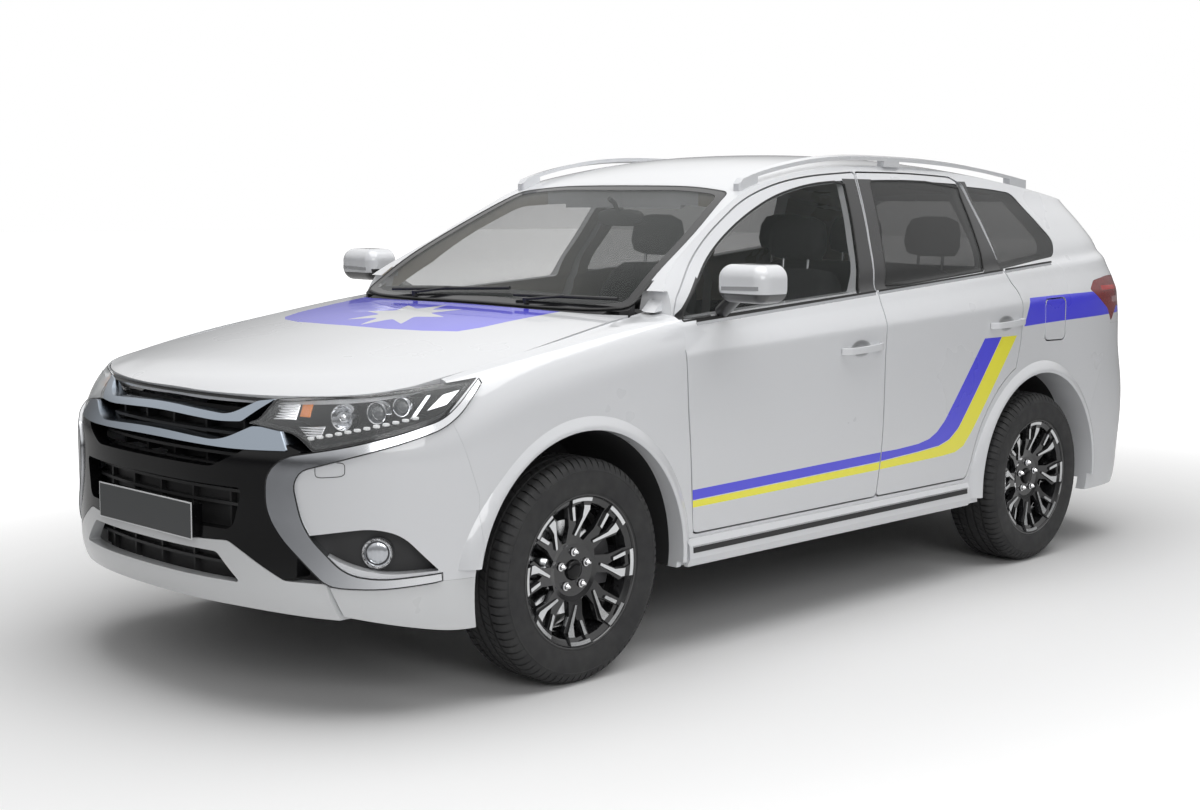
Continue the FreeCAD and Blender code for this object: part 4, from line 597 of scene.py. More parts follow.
# Other finishes of the CAD pieces: moulded and gloss-black plastic, bright and satin mouldings, castings, alloy
# and rubber.
gloss_black = simple("piano_black", (0.004, 0.004, 0.0045), 0.14, IOR=1.33, Coat_Weight=0.0)
grained = simple("grained_plastic", DARK_PLASTIC, 0.55)
grained.bump(grained.cells(900.0), 0.0001, 0.5)
bright = metal("bright_trim", (0.62, 0.63, 0.65), 0.13)
satin = metal("satin_bar", (0.30, 0.34, 0.39), 0.24)
silver = lacquer("silver_paint", (0.62, 0.63, 0.64))
iron = Finish("bare_casting", Base_Color=(0.12, 0.12, 0.125), Metallic=0.7, Roughness=0.6)
iron.bump(iron.noise(240.0, 4.0), 0.0004, 0.6)
underseal = simple("underseal", (0.018, 0.018, 0.019), 0.75)
underseal.bump(underseal.noise(160.0, 4.0), 0.0006, 0.6)
red_lens = Finish("red_lens", Roughness=0.05, Coat_Weight=0.4)
rubber = simple("rubber_seal", (0.016, 0.016, 0.016), 0.65)
tyre_rubber = Finish("tyre_rubber")
alloy = Finish("alloy", Coat_Weight=0.5)
cloth = simple("seat_cloth", (0.030, 0.030, 0.032), 0.9)
dress(gloss_black, "front_panel", "headlamps")
dress(grained, "grille", "fog_lamps", "wipers", "dashboard", "steering_wheel")
shaded_blade_metal = Finish("blade_chrome", Metallic=1.0, Roughness=0.16)
painted_shade_ahead = (shaded_blade_metal.facing()[1] * -1.0).step(0.35, 0.95)  # painted shade: the faces that look ahead get a darker chrome colour than the rest
shaded_blade_metal.set(Base_Color=painted_shade_ahead.mix((0.74, 0.75, 0.77), (0.30, 0.31, 0.33)))
dress(shaded_blade_metal, "front_blades")
dress(satin, "grille_bars")
dress(silver, "skid_plate", "chin")
dress(iron, "power_unit", "rear_axle", *sides("knuckle"))
dress(underseal, "floor_pan", "front_frame")
dress(red_lens, "tail_lamps")
dress(tyre_rubber, *sides("tyre_front"), *sides("tyre_rear"))
dress(alloy, *sides("rim_front"), *sides("rim_rear"))
dress(cloth, "front_seats", "rear_seat")

# Tyres. Radial tyres of black rubber on each rim: a smooth sidewall with fine rings, four grooves round the
# tread, and narrow slots across the ribs and shoulders.
FRONT_AXLE, REAR_AXLE = -1.3625, 1.3075
HUB_HEIGHT = 0.352
WHEEL_X = 0.770  # the middle of the tread
PITCHES = 78  # slots round the tread
SLOT_DEPTH = 0.0052
HALF_TREAD = [  # radius, distance out from the tread's middle, share of the slot's depth
    (0.2283, -0.0900, 0), (0.2310, -0.0975, 0), (0.2370, -0.1010, 0), (0.2460, -0.1020, 0), (0.2470, -0.1040, 0),
    (0.2600, -0.1085, 0), (0.2800, -0.1122, 0), (0.3000, -0.1125, 0), (0.3120, -0.1112, 0), (0.3130, -0.1120, 0),
    (0.3160, -0.1112, 0), (0.3165, -0.1098, 0), (0.3260, -0.1062, 0.6), (0.3340, -0.1018, 1), (0.3420, -0.0945, 1),
    (0.3480, -0.0850, 1), (0.3500, -0.0760, 1), (0.3508, -0.0600, 1), (0.3440, -0.0590, 0), (0.3440, -0.0510, 0),
    (0.3512, -0.0500, 0.5), (0.3518, -0.0240, 0.5), (0.3440, -0.0230, 0), (0.3440, -0.0150, 0),
    (0.3518, -0.0140, 0.4), (0.3520, 0.0, 0),
]
TREAD = HALF_TREAD + [(r, -x, deep) for r, x, deep in reversed(HALF_TREAD[:-1])]


def tyre(name, hub_y, side, body):
    """One tyre; it takes the place of the plain CAD one. Shoulder slots slant less than those of the ribs."""
    rings = []
    for k in range(PITCHES):
        for share, deep in ((0.0, 0), (0.78, 0), (0.80, 1), (0.98, 1)):
            ring = []
            for r, x, slot in TREAD:
                skew = (abs(x) - 0.055) * 0.35 if abs(x) > 0.055 else (x - 0.02) * 1.6
                a = math.tau * (k + share) / PITCHES + skew
                r = r - SLOT_DEPTH * slot * deep
                ring.append(Vector((side * (WHEEL_X + x), hub_y + r * math.cos(a), HUB_HEIGHT + r * math.sin(a))))
            rings.append(ring)
    rings.append(rings[0])
    form = Form().skin(rings, ends=False)
    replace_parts(form.make("tread_" + name, tyre_rubber, body, angle=28), "tyre_" + name)


tyre_rubber.bump(tyre_rubber.noise(420.0), 0.00025, 0.6)
tyre_rubber.set(Roughness=tyre_rubber.noise(26.0).ramp(0.3, 0.7, 0.62, 0.78),
                Base_Color=tyre_rubber.noise(9.0, 4.0).step(0.35, 0.75).mix((0.017, 0.017, 0.018),
                                                                            (0.026, 0.026, 0.026)))

# Wheel nuts and hub caps. Five plated nuts with conical noses hold each rim on the hub's studs, and a plain black
# cap is pressed in the bore.
plated = metal("plated_steel", (0.72, 0.72, 0.73), 0.16)
NUT_CIRCLE = 0.05715
for end, hub_y in (("front", FRONT_AXLE), ("rear", REAR_AXLE)):
    for word, side in SIDES:
        body = f"wheel_{end[0]}{word[0]}"
        tyre(f"{end}_{word}", hub_y, side, body)
        outward = (side, 0, 0)
        small = Form()
        for k in range(5):
            a = math.tau * k / 5
            spot = Vector((side * 0.836, hub_y + NUT_CIRCLE * math.sin(a), HUB_HEIGHT + NUT_CIRCLE * math.cos(a)))
            small.turned([(0.0, 0.018), (0.0045, 0.0172), (0.0078, 0.013), (0.0095, 0.010), (0.0108, 0.0085),
                          (0.0108, 0.0), (0.0, 0.0)], spot, outward, steps=6)
            small.turned([(0.0108, 0.0015), (0.0135, 0.001), (0.0135, -0.001), (0.0, -0.001), (0.0, 0.0015)],
                         spot, outward, steps=16)
        small.turned([(0.0, 0.0125), (0.016, 0.012), (0.026, 0.0105), (0.0300, 0.007), (0.0322, 0.003),
                      (0.0322, -0.006), (0.0, -0.006)], (side * 0.834, hub_y, HUB_HEIGHT), outward, kind=1)
        small.make(f"nuts_{end}_{word}", [plated, gloss_black], body, angle=40)

# Wheel finish. The casting is black lacquer. The front of its lands is turned bright on a lathe after painting,
# and the brake disc behind it is bare.
def from_axle(hub_y):
    away_y, away_z = alloy.y - hub_y, alloy.z - HUB_HEIGHT
    return (away_y * away_y + away_z * away_z) ** 0.5


from_hub = from_axle(FRONT_AXLE).both(from_axle(REAR_AXLE))
outward = abs(alloy.x) - WHEEL_X
land_level = from_hub.curve((0.09, 0.070), (0.205, 0.091), (0.219, 0.098), (0.233, 0.102),
                            (0.25, 0.102))
faces_out = abs(alloy.facing()[0]) > 0.9
machined = (outward > land_level - 0.0045) * faces_out * (from_hub > 0.095) * (from_hub < 0.2300)
bare = machined.either((from_hub < 0.1495) * (outward < 0.02))
alloy.set(Base_Color=bare.mix((0.014, 0.014, 0.015), (0.72, 0.73, 0.74)), Metallic=bare,
          Roughness=machined.between(0.13, 0.22))
alloy.bump((from_hub * 9000.0).sine() * bare, 0.00002, 0.4)

# Headlamp insides. Behind each clear lens: a round main reflector, two projector lamps, a turn lamp with an
# amber bulb cover, a clear outer window and a row of small daytime lamps, all in a dark bezel.
SIGHT = Vector((-math.sqrt(0.5), math.sqrt(0.5), 0))
DIAGONAL = Vector((math.sqrt(0.5), math.sqrt(0.5), 0))
chrome = metal("chrome", (0.74, 0.75, 0.77), 0.07)
projector = simple("projector_glass", (0.10, 0.11, 0.12), 0.03, Coat_Weight=1.0)
amber = simple("amber_cover", (0.85, 0.24, 0.02), 0.15, Coat_Weight=0.6)
daylamp = simple("daytime_lamp", (0.93, 0.94, 0.95), 0.2, Emission_Color=(0.5, 0.5, 0.5), Emission_Strength=0.35)
optic = metal("fluted_reflector", (0.66, 0.67, 0.69), 0.14)
optic.bump((optic.z * 900.0).sine(), 0.0006, 0.8)


def corner_spot(surface, u, z, deep=0.0):
    """A place on the car's left front corner, u along the diagonal in plan and z up, moved inward by deep."""
    return meet(surface, DIAGONAL * u + Vector((0, 0, z)) - SIGHT * 3, SIGHT) + SIGHT * deep


lens_skin = skin_of("headlamp_lenses")
lamp = Form()
ahead = (Vector((0, -1, 0)) * 0.75 - SIGHT * 0.55).normalized()
for u, z, bowl, glass, kind in ((-1.022, 0.870, 0.034, 0.42, 0), (-0.925, 0.884, 0.029, 0.78, 1),
                                (-0.857, 0.900, 0.025, 0.78, 1)):
    spot = corner_spot(lens_skin, u, z, 0.034)
    lamp.turned([(0.0, -0.020), (bowl * 0.5, -0.017), (bowl * 0.85, -0.006), (bowl, 0.008),
                 (bowl + 0.003, 0.009), (bowl + 0.003, -0.022), (0.0, -0.022)], spot, ahead)
    glass *= bowl
    lamp.turned([(0.0, 0.010), (glass * 0.5, 0.008), (glass * 0.85, 0.002), (glass, -0.004), (glass, -0.014),
                 (0.0, -0.014)], spot, ahead, kind=kind)
DAY_LAMPS = 12
half_lamp = Vector((0.008, 0.008, 0.0045))
for u, z in spread((-1.112, 0.812), (-0.820, 0.870), DAY_LAMPS - 1):
    lamp.brick(-half_lamp, half_lamp, at=corner_spot(lens_skin, u, z, 0.020), kind=3)
for deep, kind, corners in (
        (0.026, 4, [(-1.238, 0.856), (-1.222, 0.893), (-1.150, 0.905), (-1.160, 0.858)]),
        (0.022, 2, [(-1.150, 0.868), (-1.144, 0.900), (-1.112, 0.902), (-1.118, 0.868)]),
        (0.024, 4, [(-1.150, 0.842), (-1.070, 0.846), (-1.082, 0.818), (-1.122, 0.812)]),
        (0.022, 0, [(-0.790, 0.888), (-0.748, 0.932), (-0.700, 0.942), (-0.735, 0.900)]),
        (0.018, 0, [(-0.835, 0.868), (-0.792, 0.930), (-0.780, 0.931), (-0.822, 0.868)])):
    lamp.slab([corner_spot(lens_skin, u, z, deep) for u, z in corners], SIGHT * 0.004, kind=kind, edge=0.004)
pair(lamp, "headlamp_optics", [chrome, projector, amber, daylamp, optic], "shell", angle=40)

# Fog lamps. A round clear lamp with a chrome ring at the outer end of each black pocket in the bumper. The lamp is
# clipped in the pocket from the front.
fog_spot = corner_spot(skin_of("fog_lamps"), -0.925, 0.491)
fog_clear = Finish("fog_lamp_lens", Base_Color=(0.55, 0.57, 0.60), Metallic=0.6, Roughness=0.08, Coat_Weight=1.0)
fog_clear.bump((fog_clear.x * 700.0).sine(), 0.0004, 0.5)
fog = Form()
fog.turned([(0.034, 0.004), (0.037, 0.008), (0.043, 0.008), (0.047, 0.003), (0.047, -0.004), (0.034, -0.004)],
           fog_spot, -SIGHT, steps=40)
fog.turned([(0.0, 0.004), (0.018, 0.003), (0.030, 0.000), (0.0345, -0.003), (0.0, -0.004)], fog_spot, -SIGHT,
           steps=40, kind=1)
pair(fog, "fog_ring", [chrome, fog_clear], "shell", angle=40)

# Number plate. A blank dark plate of pressed sheet with a thin white border, screwed on the front panel's holder.
# It has no characters.
plate_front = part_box("front_panel")[0].y
plate_dark = simple("plate_face", (0.045, 0.048, 0.050), 0.45)
plate_white = simple("plate_border", (0.72, 0.73, 0.74), 0.4)
plate = Form()
plate.brick((-0.260, plate_front - 0.0023, 0.497), (0.260, plate_front - 0.0003, 0.607), kind=1, edge=0.0006)
plate.brick((-0.256, plate_front - 0.0029, 0.501), (0.256, plate_front - 0.0012, 0.603), edge=0.0004)
plate.make("number_plate", [plate_dark, plate_white], "shell")

# Lamp washers. A small painted cover with a fine dark joint sits under each headlamp. It is a flap of the
# bumper's own plastic, so only its joint is built here.
bumper_skin = skin_of("bumper_front")
washer = Form()
joint = [meet(bumper_skin, (0.681 + u, -3.2, 0.731 + v + 0.10 * u), (0, 1, 0))
         for u, v in rounded(28, 0.034, 0.020, 0.45, 0.45)]
washer.swept(joint, [(-0.0011, -0.0006), (0.0011, -0.0006), (0.0, 0.0007)], facing=(0.5, -0.86, 0), closed=True,
             kind=1)
pair(washer, "washer_cover", [plain_paint, grained], "shell", angle=40)

# Black trims on the door pillars and at the mirror's foot. They are gloss-black foil on the doors' frames, from the
# windows' lower line up to the roof's edge.
BELT_SLOPE = 0.0655  # the windows' lower line rises to the rear
high = side_paint.z
far = side_paint.y
pillar_b = far.inside(high.curve((1.05, 0.075), (1.10, 0.085), (1.16, 0.108), (1.34, 0.188), (1.60, 0.272)),
                      high.curve((1.05, 0.27), (1.176, 0.295), (1.36, 0.372), (1.558, 0.442), (1.60, 0.46)))
pillar_c = far.inside(high.curve((1.05, 0.92), (1.222, 0.960), (1.40, 1.004), (1.60, 1.045)),
                      high.curve((1.05, 1.085), (1.228, 1.094), (1.40, 1.112), (1.60, 1.113)))
above_belt = (high - (far * BELT_SLOPE + 1.147)).edge()
below_roof = (1.572 - high).edge() * (far < 1.2)
sail_top = far.curve((-0.95, 1.06), (-0.836, 1.112), (-0.60, 1.285), (-0.5, 1.35))
sail = (sail_top - high + 0.022).edge() * (far < -0.70) * (far > -0.90) * (high - 1.100).edge()
black_trim = (pillar_b.either(pillar_c) * above_belt * below_roof).either(sail) * facing_x

# Window seals. Black rubber runs round each side window and round the windscreen. The windscreen and the headlamp
# lenses have a black printed border, and a fine dark joint runs round each front blade.
printed = simple("printed_border", (0.010, 0.010, 0.011), 0.12)


def bordered(pane, outward, inset, lift, gap=0.02):
    """A form for the printed border along the edge of a pane, following its curve."""
    loop = thinned(borders(pane, outward)[0], gap)
    middle = sum(loop, Vector()) / len(loop)
    surface = skin_of(pane)
    way = Vector(outward).normalized()
    rings = []
    for spot in loop:
        ring = []
        for share in (0.0, 0.5, 1.0):
            goal = spot + (middle - spot).normalized() * (inset * share + 0.001)
            hit = meet(surface, goal + way * 0.3, -way)
            ring.append((hit if hit is not None and (hit - goal).length < 0.03 else goal) + way * lift)
        rings.append(ring)
    rings.append(rings[0])
    return Form().skin(rings, closed=False, ends=False)


def sealed(name, pane, outward, body, wide=0.0045, tall=0.0025):
    """A rubber lip along the edge of a pane."""
    section = [(-wide, -tall), (wide * 0.4, -tall), (wide, 0), (wide * 0.4, tall), (-wide, tall)]
    path = thinned(borders(pane, outward)[0], 0.02)
    Form().swept(path, section, facing=outward, closed=True).make(name, rubber, body)


SCREEN_OUT = (0, -0.62, 0.78)
CORNER_OUT = (0.6, -0.8, 0)
for word, side in SIDES:
    side_out = (side * 0.96, 0, 0.28)
    sealed("seal_front_" + word, "glass_front_" + word, side_out, "door_f" + word[0])
    sealed("seal_rear_" + word, "glass_rear_" + word, side_out, "door_r" + word[0])
bordered("windscreen", SCREEN_OUT, 0.040, 0.0006).make("screen_border", printed, "shell", solid=False)
sealed("screen_seal", "windscreen", SCREEN_OUT, "shell", wide=0.004, tall=0.002)
pair(bordered("headlamp_lenses", CORNER_OUT, 0.007, 0.0005, gap=0.012), "lamp_edge", printed, "shell", solid=False)
path = thinned(borders("front_blades", CORNER_OUT)[0], 0.012)
section = [(-0.0016, -0.0010), (0.0016, -0.0010), (0.0, 0.0012)]
pair(Form().swept(path, section, facing=CORNER_OUT, closed=True), "blade_edge", printed, "shell")

# Belt mouldings. A bright strip under the side windows, with a black wiper lip above it, clipped to each door
# and to the rear quarter.
door_skin = {"door_f": skin_of("door_front_left"), "door_r": skin_of("door_rear_left"),
             "shell": skin_of("body_side_left")}
BELT_LEVEL = 1.135  # its height at y = 0
for body, *ends in (("door_f", -0.800, 0.196), ("door_r", 0.216, 1.080), ("shell", 1.100, 1.470)):
    path = side_row(door_skin[body], *((y, y * BELT_SLOPE + BELT_LEVEL) for y in ends), 24)
    strip = Form()
    strip.swept(path, [(-0.0085, -0.001), (0.0085, -0.001), (0.0078, 0.003), (0.002, 0.0048), (-0.0060, 0.0036)],
                (0.25, 0, -1))
    strip.swept([spot + Vector((0, 0, 0.0115)) for spot in path],
                [(-0.004, -0.001), (0.003, -0.001), (0.003, 0.0022), (-0.003, 0.0012)], (0.25, 0, -1), kind=1)
    pair(strip, "belt_" + body, [bright, rubber], body if body == "shell" else body + "{}")

# Door handles. A painted pull bar stands off a shallow cup in the skin, on two feet. Bar and cup are of plastic,
# and the bar is screwed on from inside the door.
DOWN = (0, 0, -1)
CUP_LONG, CUP_TALL = 0.062, 0.031
HANDLES = {"door_f": (0.036, 0.962), "door_r": (1.022, 1.008)}  # distance along and height
shaded_cup_paint = lacquer("handle_cup", WHITE)
for word, (handle_y, handle_z) in HANDLES.items():
    surface = door_skin[word]
    bar = Form()
    base = seat_side(surface, handle_y, handle_z)
    path = eased([(base.x + out, handle_y + y, handle_z + y * 0.045) for y, out in (
        (-0.118, 0.002), (-0.104, 0.020), (-0.085, 0.031), (-0.03, 0.0365), (0.03, 0.0365), (0.085, 0.031),
        (0.104, 0.020), (0.118, 0.002))], 5)
    bar.swept(path, [(-0.0125, 0.002), (-0.009, 0.0062), (0.0, 0.0078), (0.009, 0.0062), (0.0125, 0.002),
                     (0.0115, -0.003), (0.0, -0.0045), (-0.0115, -0.003)], DOWN)
    bar.skin([[seat_side(surface, handle_y + y * share, handle_z + z * share) + Vector((0.0006, 0, 0))
               for y, z in rounded(40, CUP_LONG, CUP_TALL, 1.0, 1.0)] for share in (0.0, 0.35, 0.7, 0.92, 1.0)],
             ends=False, kind=1)
    pair(bar, "handle_" + word, [plain_paint, shaded_cup_paint], word + "{}", angle=45, solid=False)
from_front, from_rear = (((shaded_cup_paint.y - y) / CUP_LONG) ** 2.0 + ((shaded_cup_paint.z - z) / CUP_TALL) ** 2.0
                         for y, z in HANDLES.values())
cup_share = from_front.both(from_rear)
shaded_cup_paint.bump(cup_share.step(0.0, 1.0), 0.030, 1.0)
# Painted shade: the cup's white colour darkens towards its middle, where shade falls in the recess.
shaded_cup_paint.set(Base_Color=cup_share.step(0.0, 1.1).mix((0.30, 0.305, 0.315), WHITE))

# Door mirrors. A white cap with a clear turn lamp across it, a black lower half and foot, and the mirror pane
# at the back.
mirror_paint = lacquer("mirror_paint", WHITE)
under = (mirror_paint.z < 1.190).either((abs(mirror_paint.x) < 0.905) * (mirror_paint.z < 1.205))
mirror_paint.set(Base_Color=under.mix(WHITE, (0.014, 0.014, 0.015)))
dress(mirror_paint, *sides("mirror"))
silvered = metal("mirror_pane", (0.80, 0.81, 0.82), 0.02)
turn_clear = Finish("turn_lamp_cover", Base_Color=(0.62, 0.63, 0.65), Metallic=0.7, Roughness=0.10, Coat_Weight=1.0)
face = Form()
face.slab([(0.995 + u, -0.6598, 1.221 + v) for u, v in rounded(40, 0.088, 0.049, 0.5, 0.5)], (0, -0.004, 0),
          edge=0.0015)
mirror_skin = skin_of("mirror_left")
lamp_path = [meet(mirror_skin, (x, -1.2, z), (0, 1, 0)) for x, z in spread((0.925, 1.205), (1.075, 1.209), 14)]
face.swept([spot for spot in lamp_path if spot is not None], strip_section(0.0065, -0.0012, 0.0055, 0.0016), DOWN,
           kind=1)
pair(face, "mirror_pane", [silvered, turn_clear], "door_f{}", angle=45)

# Sill mouldings. A dark strip with a bright line on top runs along each painted sill cover. Both are plastic and
# glued on.
skirt_low, skirt_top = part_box("side_skirts")
path = side_row(skin_of("side_skirts"), (skirt_low.y + 0.02, 0.352), (skirt_top.y - 0.02, 0.358), 30)
sill = Form()
sill.swept(path, strip_section(0.010, -0.001, 0.009, 0.003), (0.1, 0, -1))
sill.swept([spot + Vector((0.001, 0, 0.0115)) for spot in path], strip_section(0.0025, -0.001, 0.002, 0.003),
           (0.1, 0, -1), kind=1)
pair(sill, "sill_moulding", [grained, bright], "shell")

# Cabin trims. The pillars' inner covers and the roof lining are pale cloth and plastic; the door cards and the
# lower side trims are dark.
LINING = (0.40, 0.355, 0.285)
inward = (side_paint.x * side_paint.facing()[0]) < -0.05
lined = inward * (side_paint.y > -1.05) * (abs(side_paint.x) < 0.862)
trim_colour = (side_paint.z - 1.02).edge(0.004).mix(DARK_PLASTIC, LINING)
side_paint.set(Base_Color=lined.mix(black_trim.mix(banded, FOIL_BLACK), trim_colour),
               Coat_Weight=black_trim.between(COAT, 0.25) * lined.off())
ceiling = lacquer("roof_paint", WHITE)
below = (ceiling.facing()[2] < -0.3) * (ceiling.y > -0.9)
ceiling.set(Base_Color=below.mix(WHITE, LINING), Coat_Weight=below.between(COAT, 0.0))
dress(ceiling, "roof_panel")

# Seats. Foam cushions with raised side bolsters under dark woven covers, sewn in three panels, with headrests on
# two steel posts each. The front pair are single seats and the rear one is a bench.
cover = Finish("seat_cover", Roughness=0.88)
weave = (cover.x * 2600.0).sine() * (cover.y * 2600.0).sine()
cover.bump(weave + cover.noise(60.0) * 0.8, 0.0006, 0.6)
cover.set(Base_Color=cover.noise(30.0, 4.0).ramp(0.3, 0.7, 0.0, 1.0).mix((0.022, 0.022, 0.024),
                                                                         (0.036, 0.036, 0.038)))
steel_post = metal("headrest_post", (0.55, 0.56, 0.58), 0.22)


def stuffed(form, stations):
    """A padded form through stations of (middle, upward way, half width, half depth, bolster), with a sewn
    channel beside each bolster."""
    rings = []
    for middle, upward, wide, deep, bolster in stations:
        ring = []
        for u, v in rounded(72, 1.0, 1.0, 0.55, 0.62):
            if v > 0:
                v += bolster * (math.exp(-((abs(u) - 0.80) / 0.15) ** 2) - 0.25 * math.exp(-(u / 0.5) ** 2))
                v -= (0.05 + 0.2 * bolster) * math.exp(-((abs(u) - 0.60) / 0.035) ** 2)
            ring.append(Vector(middle) + Vector((1, 0, 0)) * u * wide + Vector(upward) * v * deep)
        rings.append(ring)
    form.skin(rings)


def seat_pads(x, y, wide, heads, runner):
    """Cushion, leaning back and headrests on floor runners, with the same places as the CAD seat."""
    z = seat_floor
    pads = Form()
    for rail in (x - wide + 0.080, x + wide - 0.080):
        pads.brick((rail - 0.018, y + 0.060, z + 0.001), (rail + 0.018, y + 0.060 + runner, z + 0.030), kind=2,
                   edge=0.003)
        for foot in (y + 0.075, y + 0.045 + runner):
            pads.brick((rail - 0.012, foot - 0.015, z + 0.028), (rail + 0.012, foot + 0.015, z + 0.200), kind=2,
                       edge=0.003)

    def fill(middle, upward, half, rows):
        stuffed(pads, [((middle, y + a, z + b), upward, half * share, deep, bolster)
                       for a, b, share, deep, bolster in rows])

    fill(x, (0, 0, 1), wide, CUSHION)
    fill(x, LEAN, wide, BACKREST)
    for head in heads:
        fill(x + head, LEAN, HEAD_WIDE, HEADREST)
        for post in (x + head - 0.060, x + head + 0.060):
            pads.swept([Vector((post, y + 0.632, z + 0.830)), Vector((post, y + 0.643, z + 0.925))], circle(0.0065),
                       (1, 0, 0), kind=1)
    return pads


LEAN = (0, -0.945, 0.325)  # the way a seat's back faces
HEAD_WIDE = 0.128
# Each row: place along and up from the seat's front edge and the floor, share of the half width, half depth and
# bolster.
CUSHION = [(-0.004, 0.245, 0.62, 0.012, 0.0), (0.004, 0.248, 0.90, 0.050, 0.0), (0.030, 0.252, 0.97, 0.068, 0.12),
           (0.120, 0.256, 1.0, 0.072, 0.42), (0.280, 0.250, 1.0, 0.068, 0.50), (0.440, 0.244, 1.0, 0.066, 0.36),
           (0.530, 0.244, 0.97, 0.058, 0.10), (0.556, 0.244, 0.80, 0.020, 0.0)]
BACKREST = [(0.470, 0.262, 0.70, 0.010, 0.0), (0.478, 0.285, 0.93, 0.060, 0.1), (0.494, 0.345, 0.97, 0.082, 0.30),
            (0.530, 0.470, 0.98, 0.086, 0.52), (0.566, 0.610, 0.97, 0.080, 0.55), (0.600, 0.740, 0.93, 0.070, 0.30),
            (0.624, 0.815, 0.84, 0.056, 0.08), (0.640, 0.852, 0.70, 0.034, 0.0), (0.646, 0.862, 0.40, 0.010, 0.0)]
HEADREST = [(0.638, 0.900, 0.55, 0.012, 0.0), (0.640, 0.910, 0.90, 0.040, 0.0), (0.645, 0.945, 1.0, 0.052, 0.06),
            (0.655, 1.005, 0.97, 0.050, 0.10), (0.664, 1.045, 0.86, 0.036, 0.0), (0.668, 1.062, 0.50, 0.010, 0.0)]
FRONT_SEAT_X = 0.370
REAR_HALF_WIDTH = 0.615
seat_low, seat_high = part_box("front_seats")
seat_floor = seat_low.z
front_pads = seat_pads(FRONT_SEAT_X, -0.330, seat_high.x - FRONT_SEAT_X, [0.0], 0.440)
right_pads = front_pads.mirrored()
front_pads.add(right_pads.corners, right_pads.faces, right_pads.kinds)
rear_pads = seat_pads(0.0, 0.560, REAR_HALF_WIDTH, [-0.400, 0.0, 0.400], 0.240)
for name, form, solid_seat in (("front", front_pads, "front_seats"), ("rear", rear_pads, "rear_seat")):
    seat = form.make("seat_pads_" + name, [cover, steel_post, grained], "shell", angle=70)
    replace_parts(seat, solid_seat)

# Inner mirror and dashboard fittings. A small mirror hangs from the windscreen on a short arm; the moulded
# dashboard has a hood over the dials, four air vents, a centre screen and a row of keys under it.
foot = meet(skin_of("windscreen"), (0, -0.36, 1.2), (0, 0, 1))
inner = Form()
inner.swept([foot + Vector((0, 0.001, -0.001)), foot + Vector((0, 0.030, -0.018)), foot + Vector((0, 0.052, -0.052))],
            circle(0.009), (1, 0, 0))
mirror_rings = [[foot + Vector((u * share, 0.060 + depth, -0.072 + v * share))
                 for u, v in rounded(36, 0.118, 0.032, 0.6, 0.7)]
                for depth, share in ((-0.012, 0.55), (-0.010, 0.85), (-0.002, 0.99), (0.008, 1.0), (0.0115, 0.97))]
inner.skin(mirror_rings)
pane_middle = foot + Vector((0, 0.0715, -0.072))
inner.slab([spot + Vector((0, 0.0008, 0)) + (pane_middle - spot) * 0.06 for spot in mirror_rings[-1]],
           (0, -0.002, 0), kind=1)
inner.make("inner_mirror", [grained, silvered], "shell", angle=40)

dash_skin = skin_of("dashboard")


def dash_spot(x, z):
    """A place just off the dashboard's rear side."""
    return meet(dash_skin, (x, 0.4, z), (0, -1, 0)) + Vector((0, 0.001, 0))


controls = Form()
hood_path = [Vector((0.365 - 0.155 * math.cos(math.pi * k / 16), -0.615, 1.045 + 0.052 * math.sin(math.pi * k / 16)))
             for k in range(17)]
controls.swept(hood_path, [(-0.045, -0.004), (0.055, -0.003), (0.058, 0.001), (0.050, 0.004), (-0.045, 0.004)],
               (0, 1, 0))
for x in (-0.60, -0.20, 0.10, 0.63):
    spot = dash_spot(x, 0.985)
    controls.brick((-0.055, -0.006, -0.026), (0.055, 0.004, 0.026), at=spot, edge=0.004)
    for k in range(4):
        vane = spot + Vector((0, 0.005, -0.017 + 0.0115 * k))
        controls.brick((-0.048, -0.002, -0.0025), (0.048, 0.002, 0.0025), at=vane, kind=2, edge=0.001)
spot = dash_spot(-0.05, 0.90)
controls.brick((-0.105, -0.006, -0.040), (0.105, 0.006, 0.050), at=spot, kind=1, edge=0.004)
for k in range(6):
    key = spot + Vector((-0.085 + 0.034 * k, 0.004, -0.068))
    controls.brick((-0.013, -0.006, -0.008), (0.013, 0.004, 0.008), at=key, kind=2)
controls.make("dash_fittings", [grained, gloss_black, rubber], "shell", angle=35)

# Door cards. Each door has a padded armrest, a bright inner handle in a dark cup and a round loudspeaker grille low
# down at the front, all clipped on its grained inner panel.
def inner_spot(surface, y, z, out=0.0):
    """The place on the inner side of a left door, or a little off it."""
    return meet(surface, (0.2, y, z), (1, 0, 0)) - Vector((out, 0, 0))


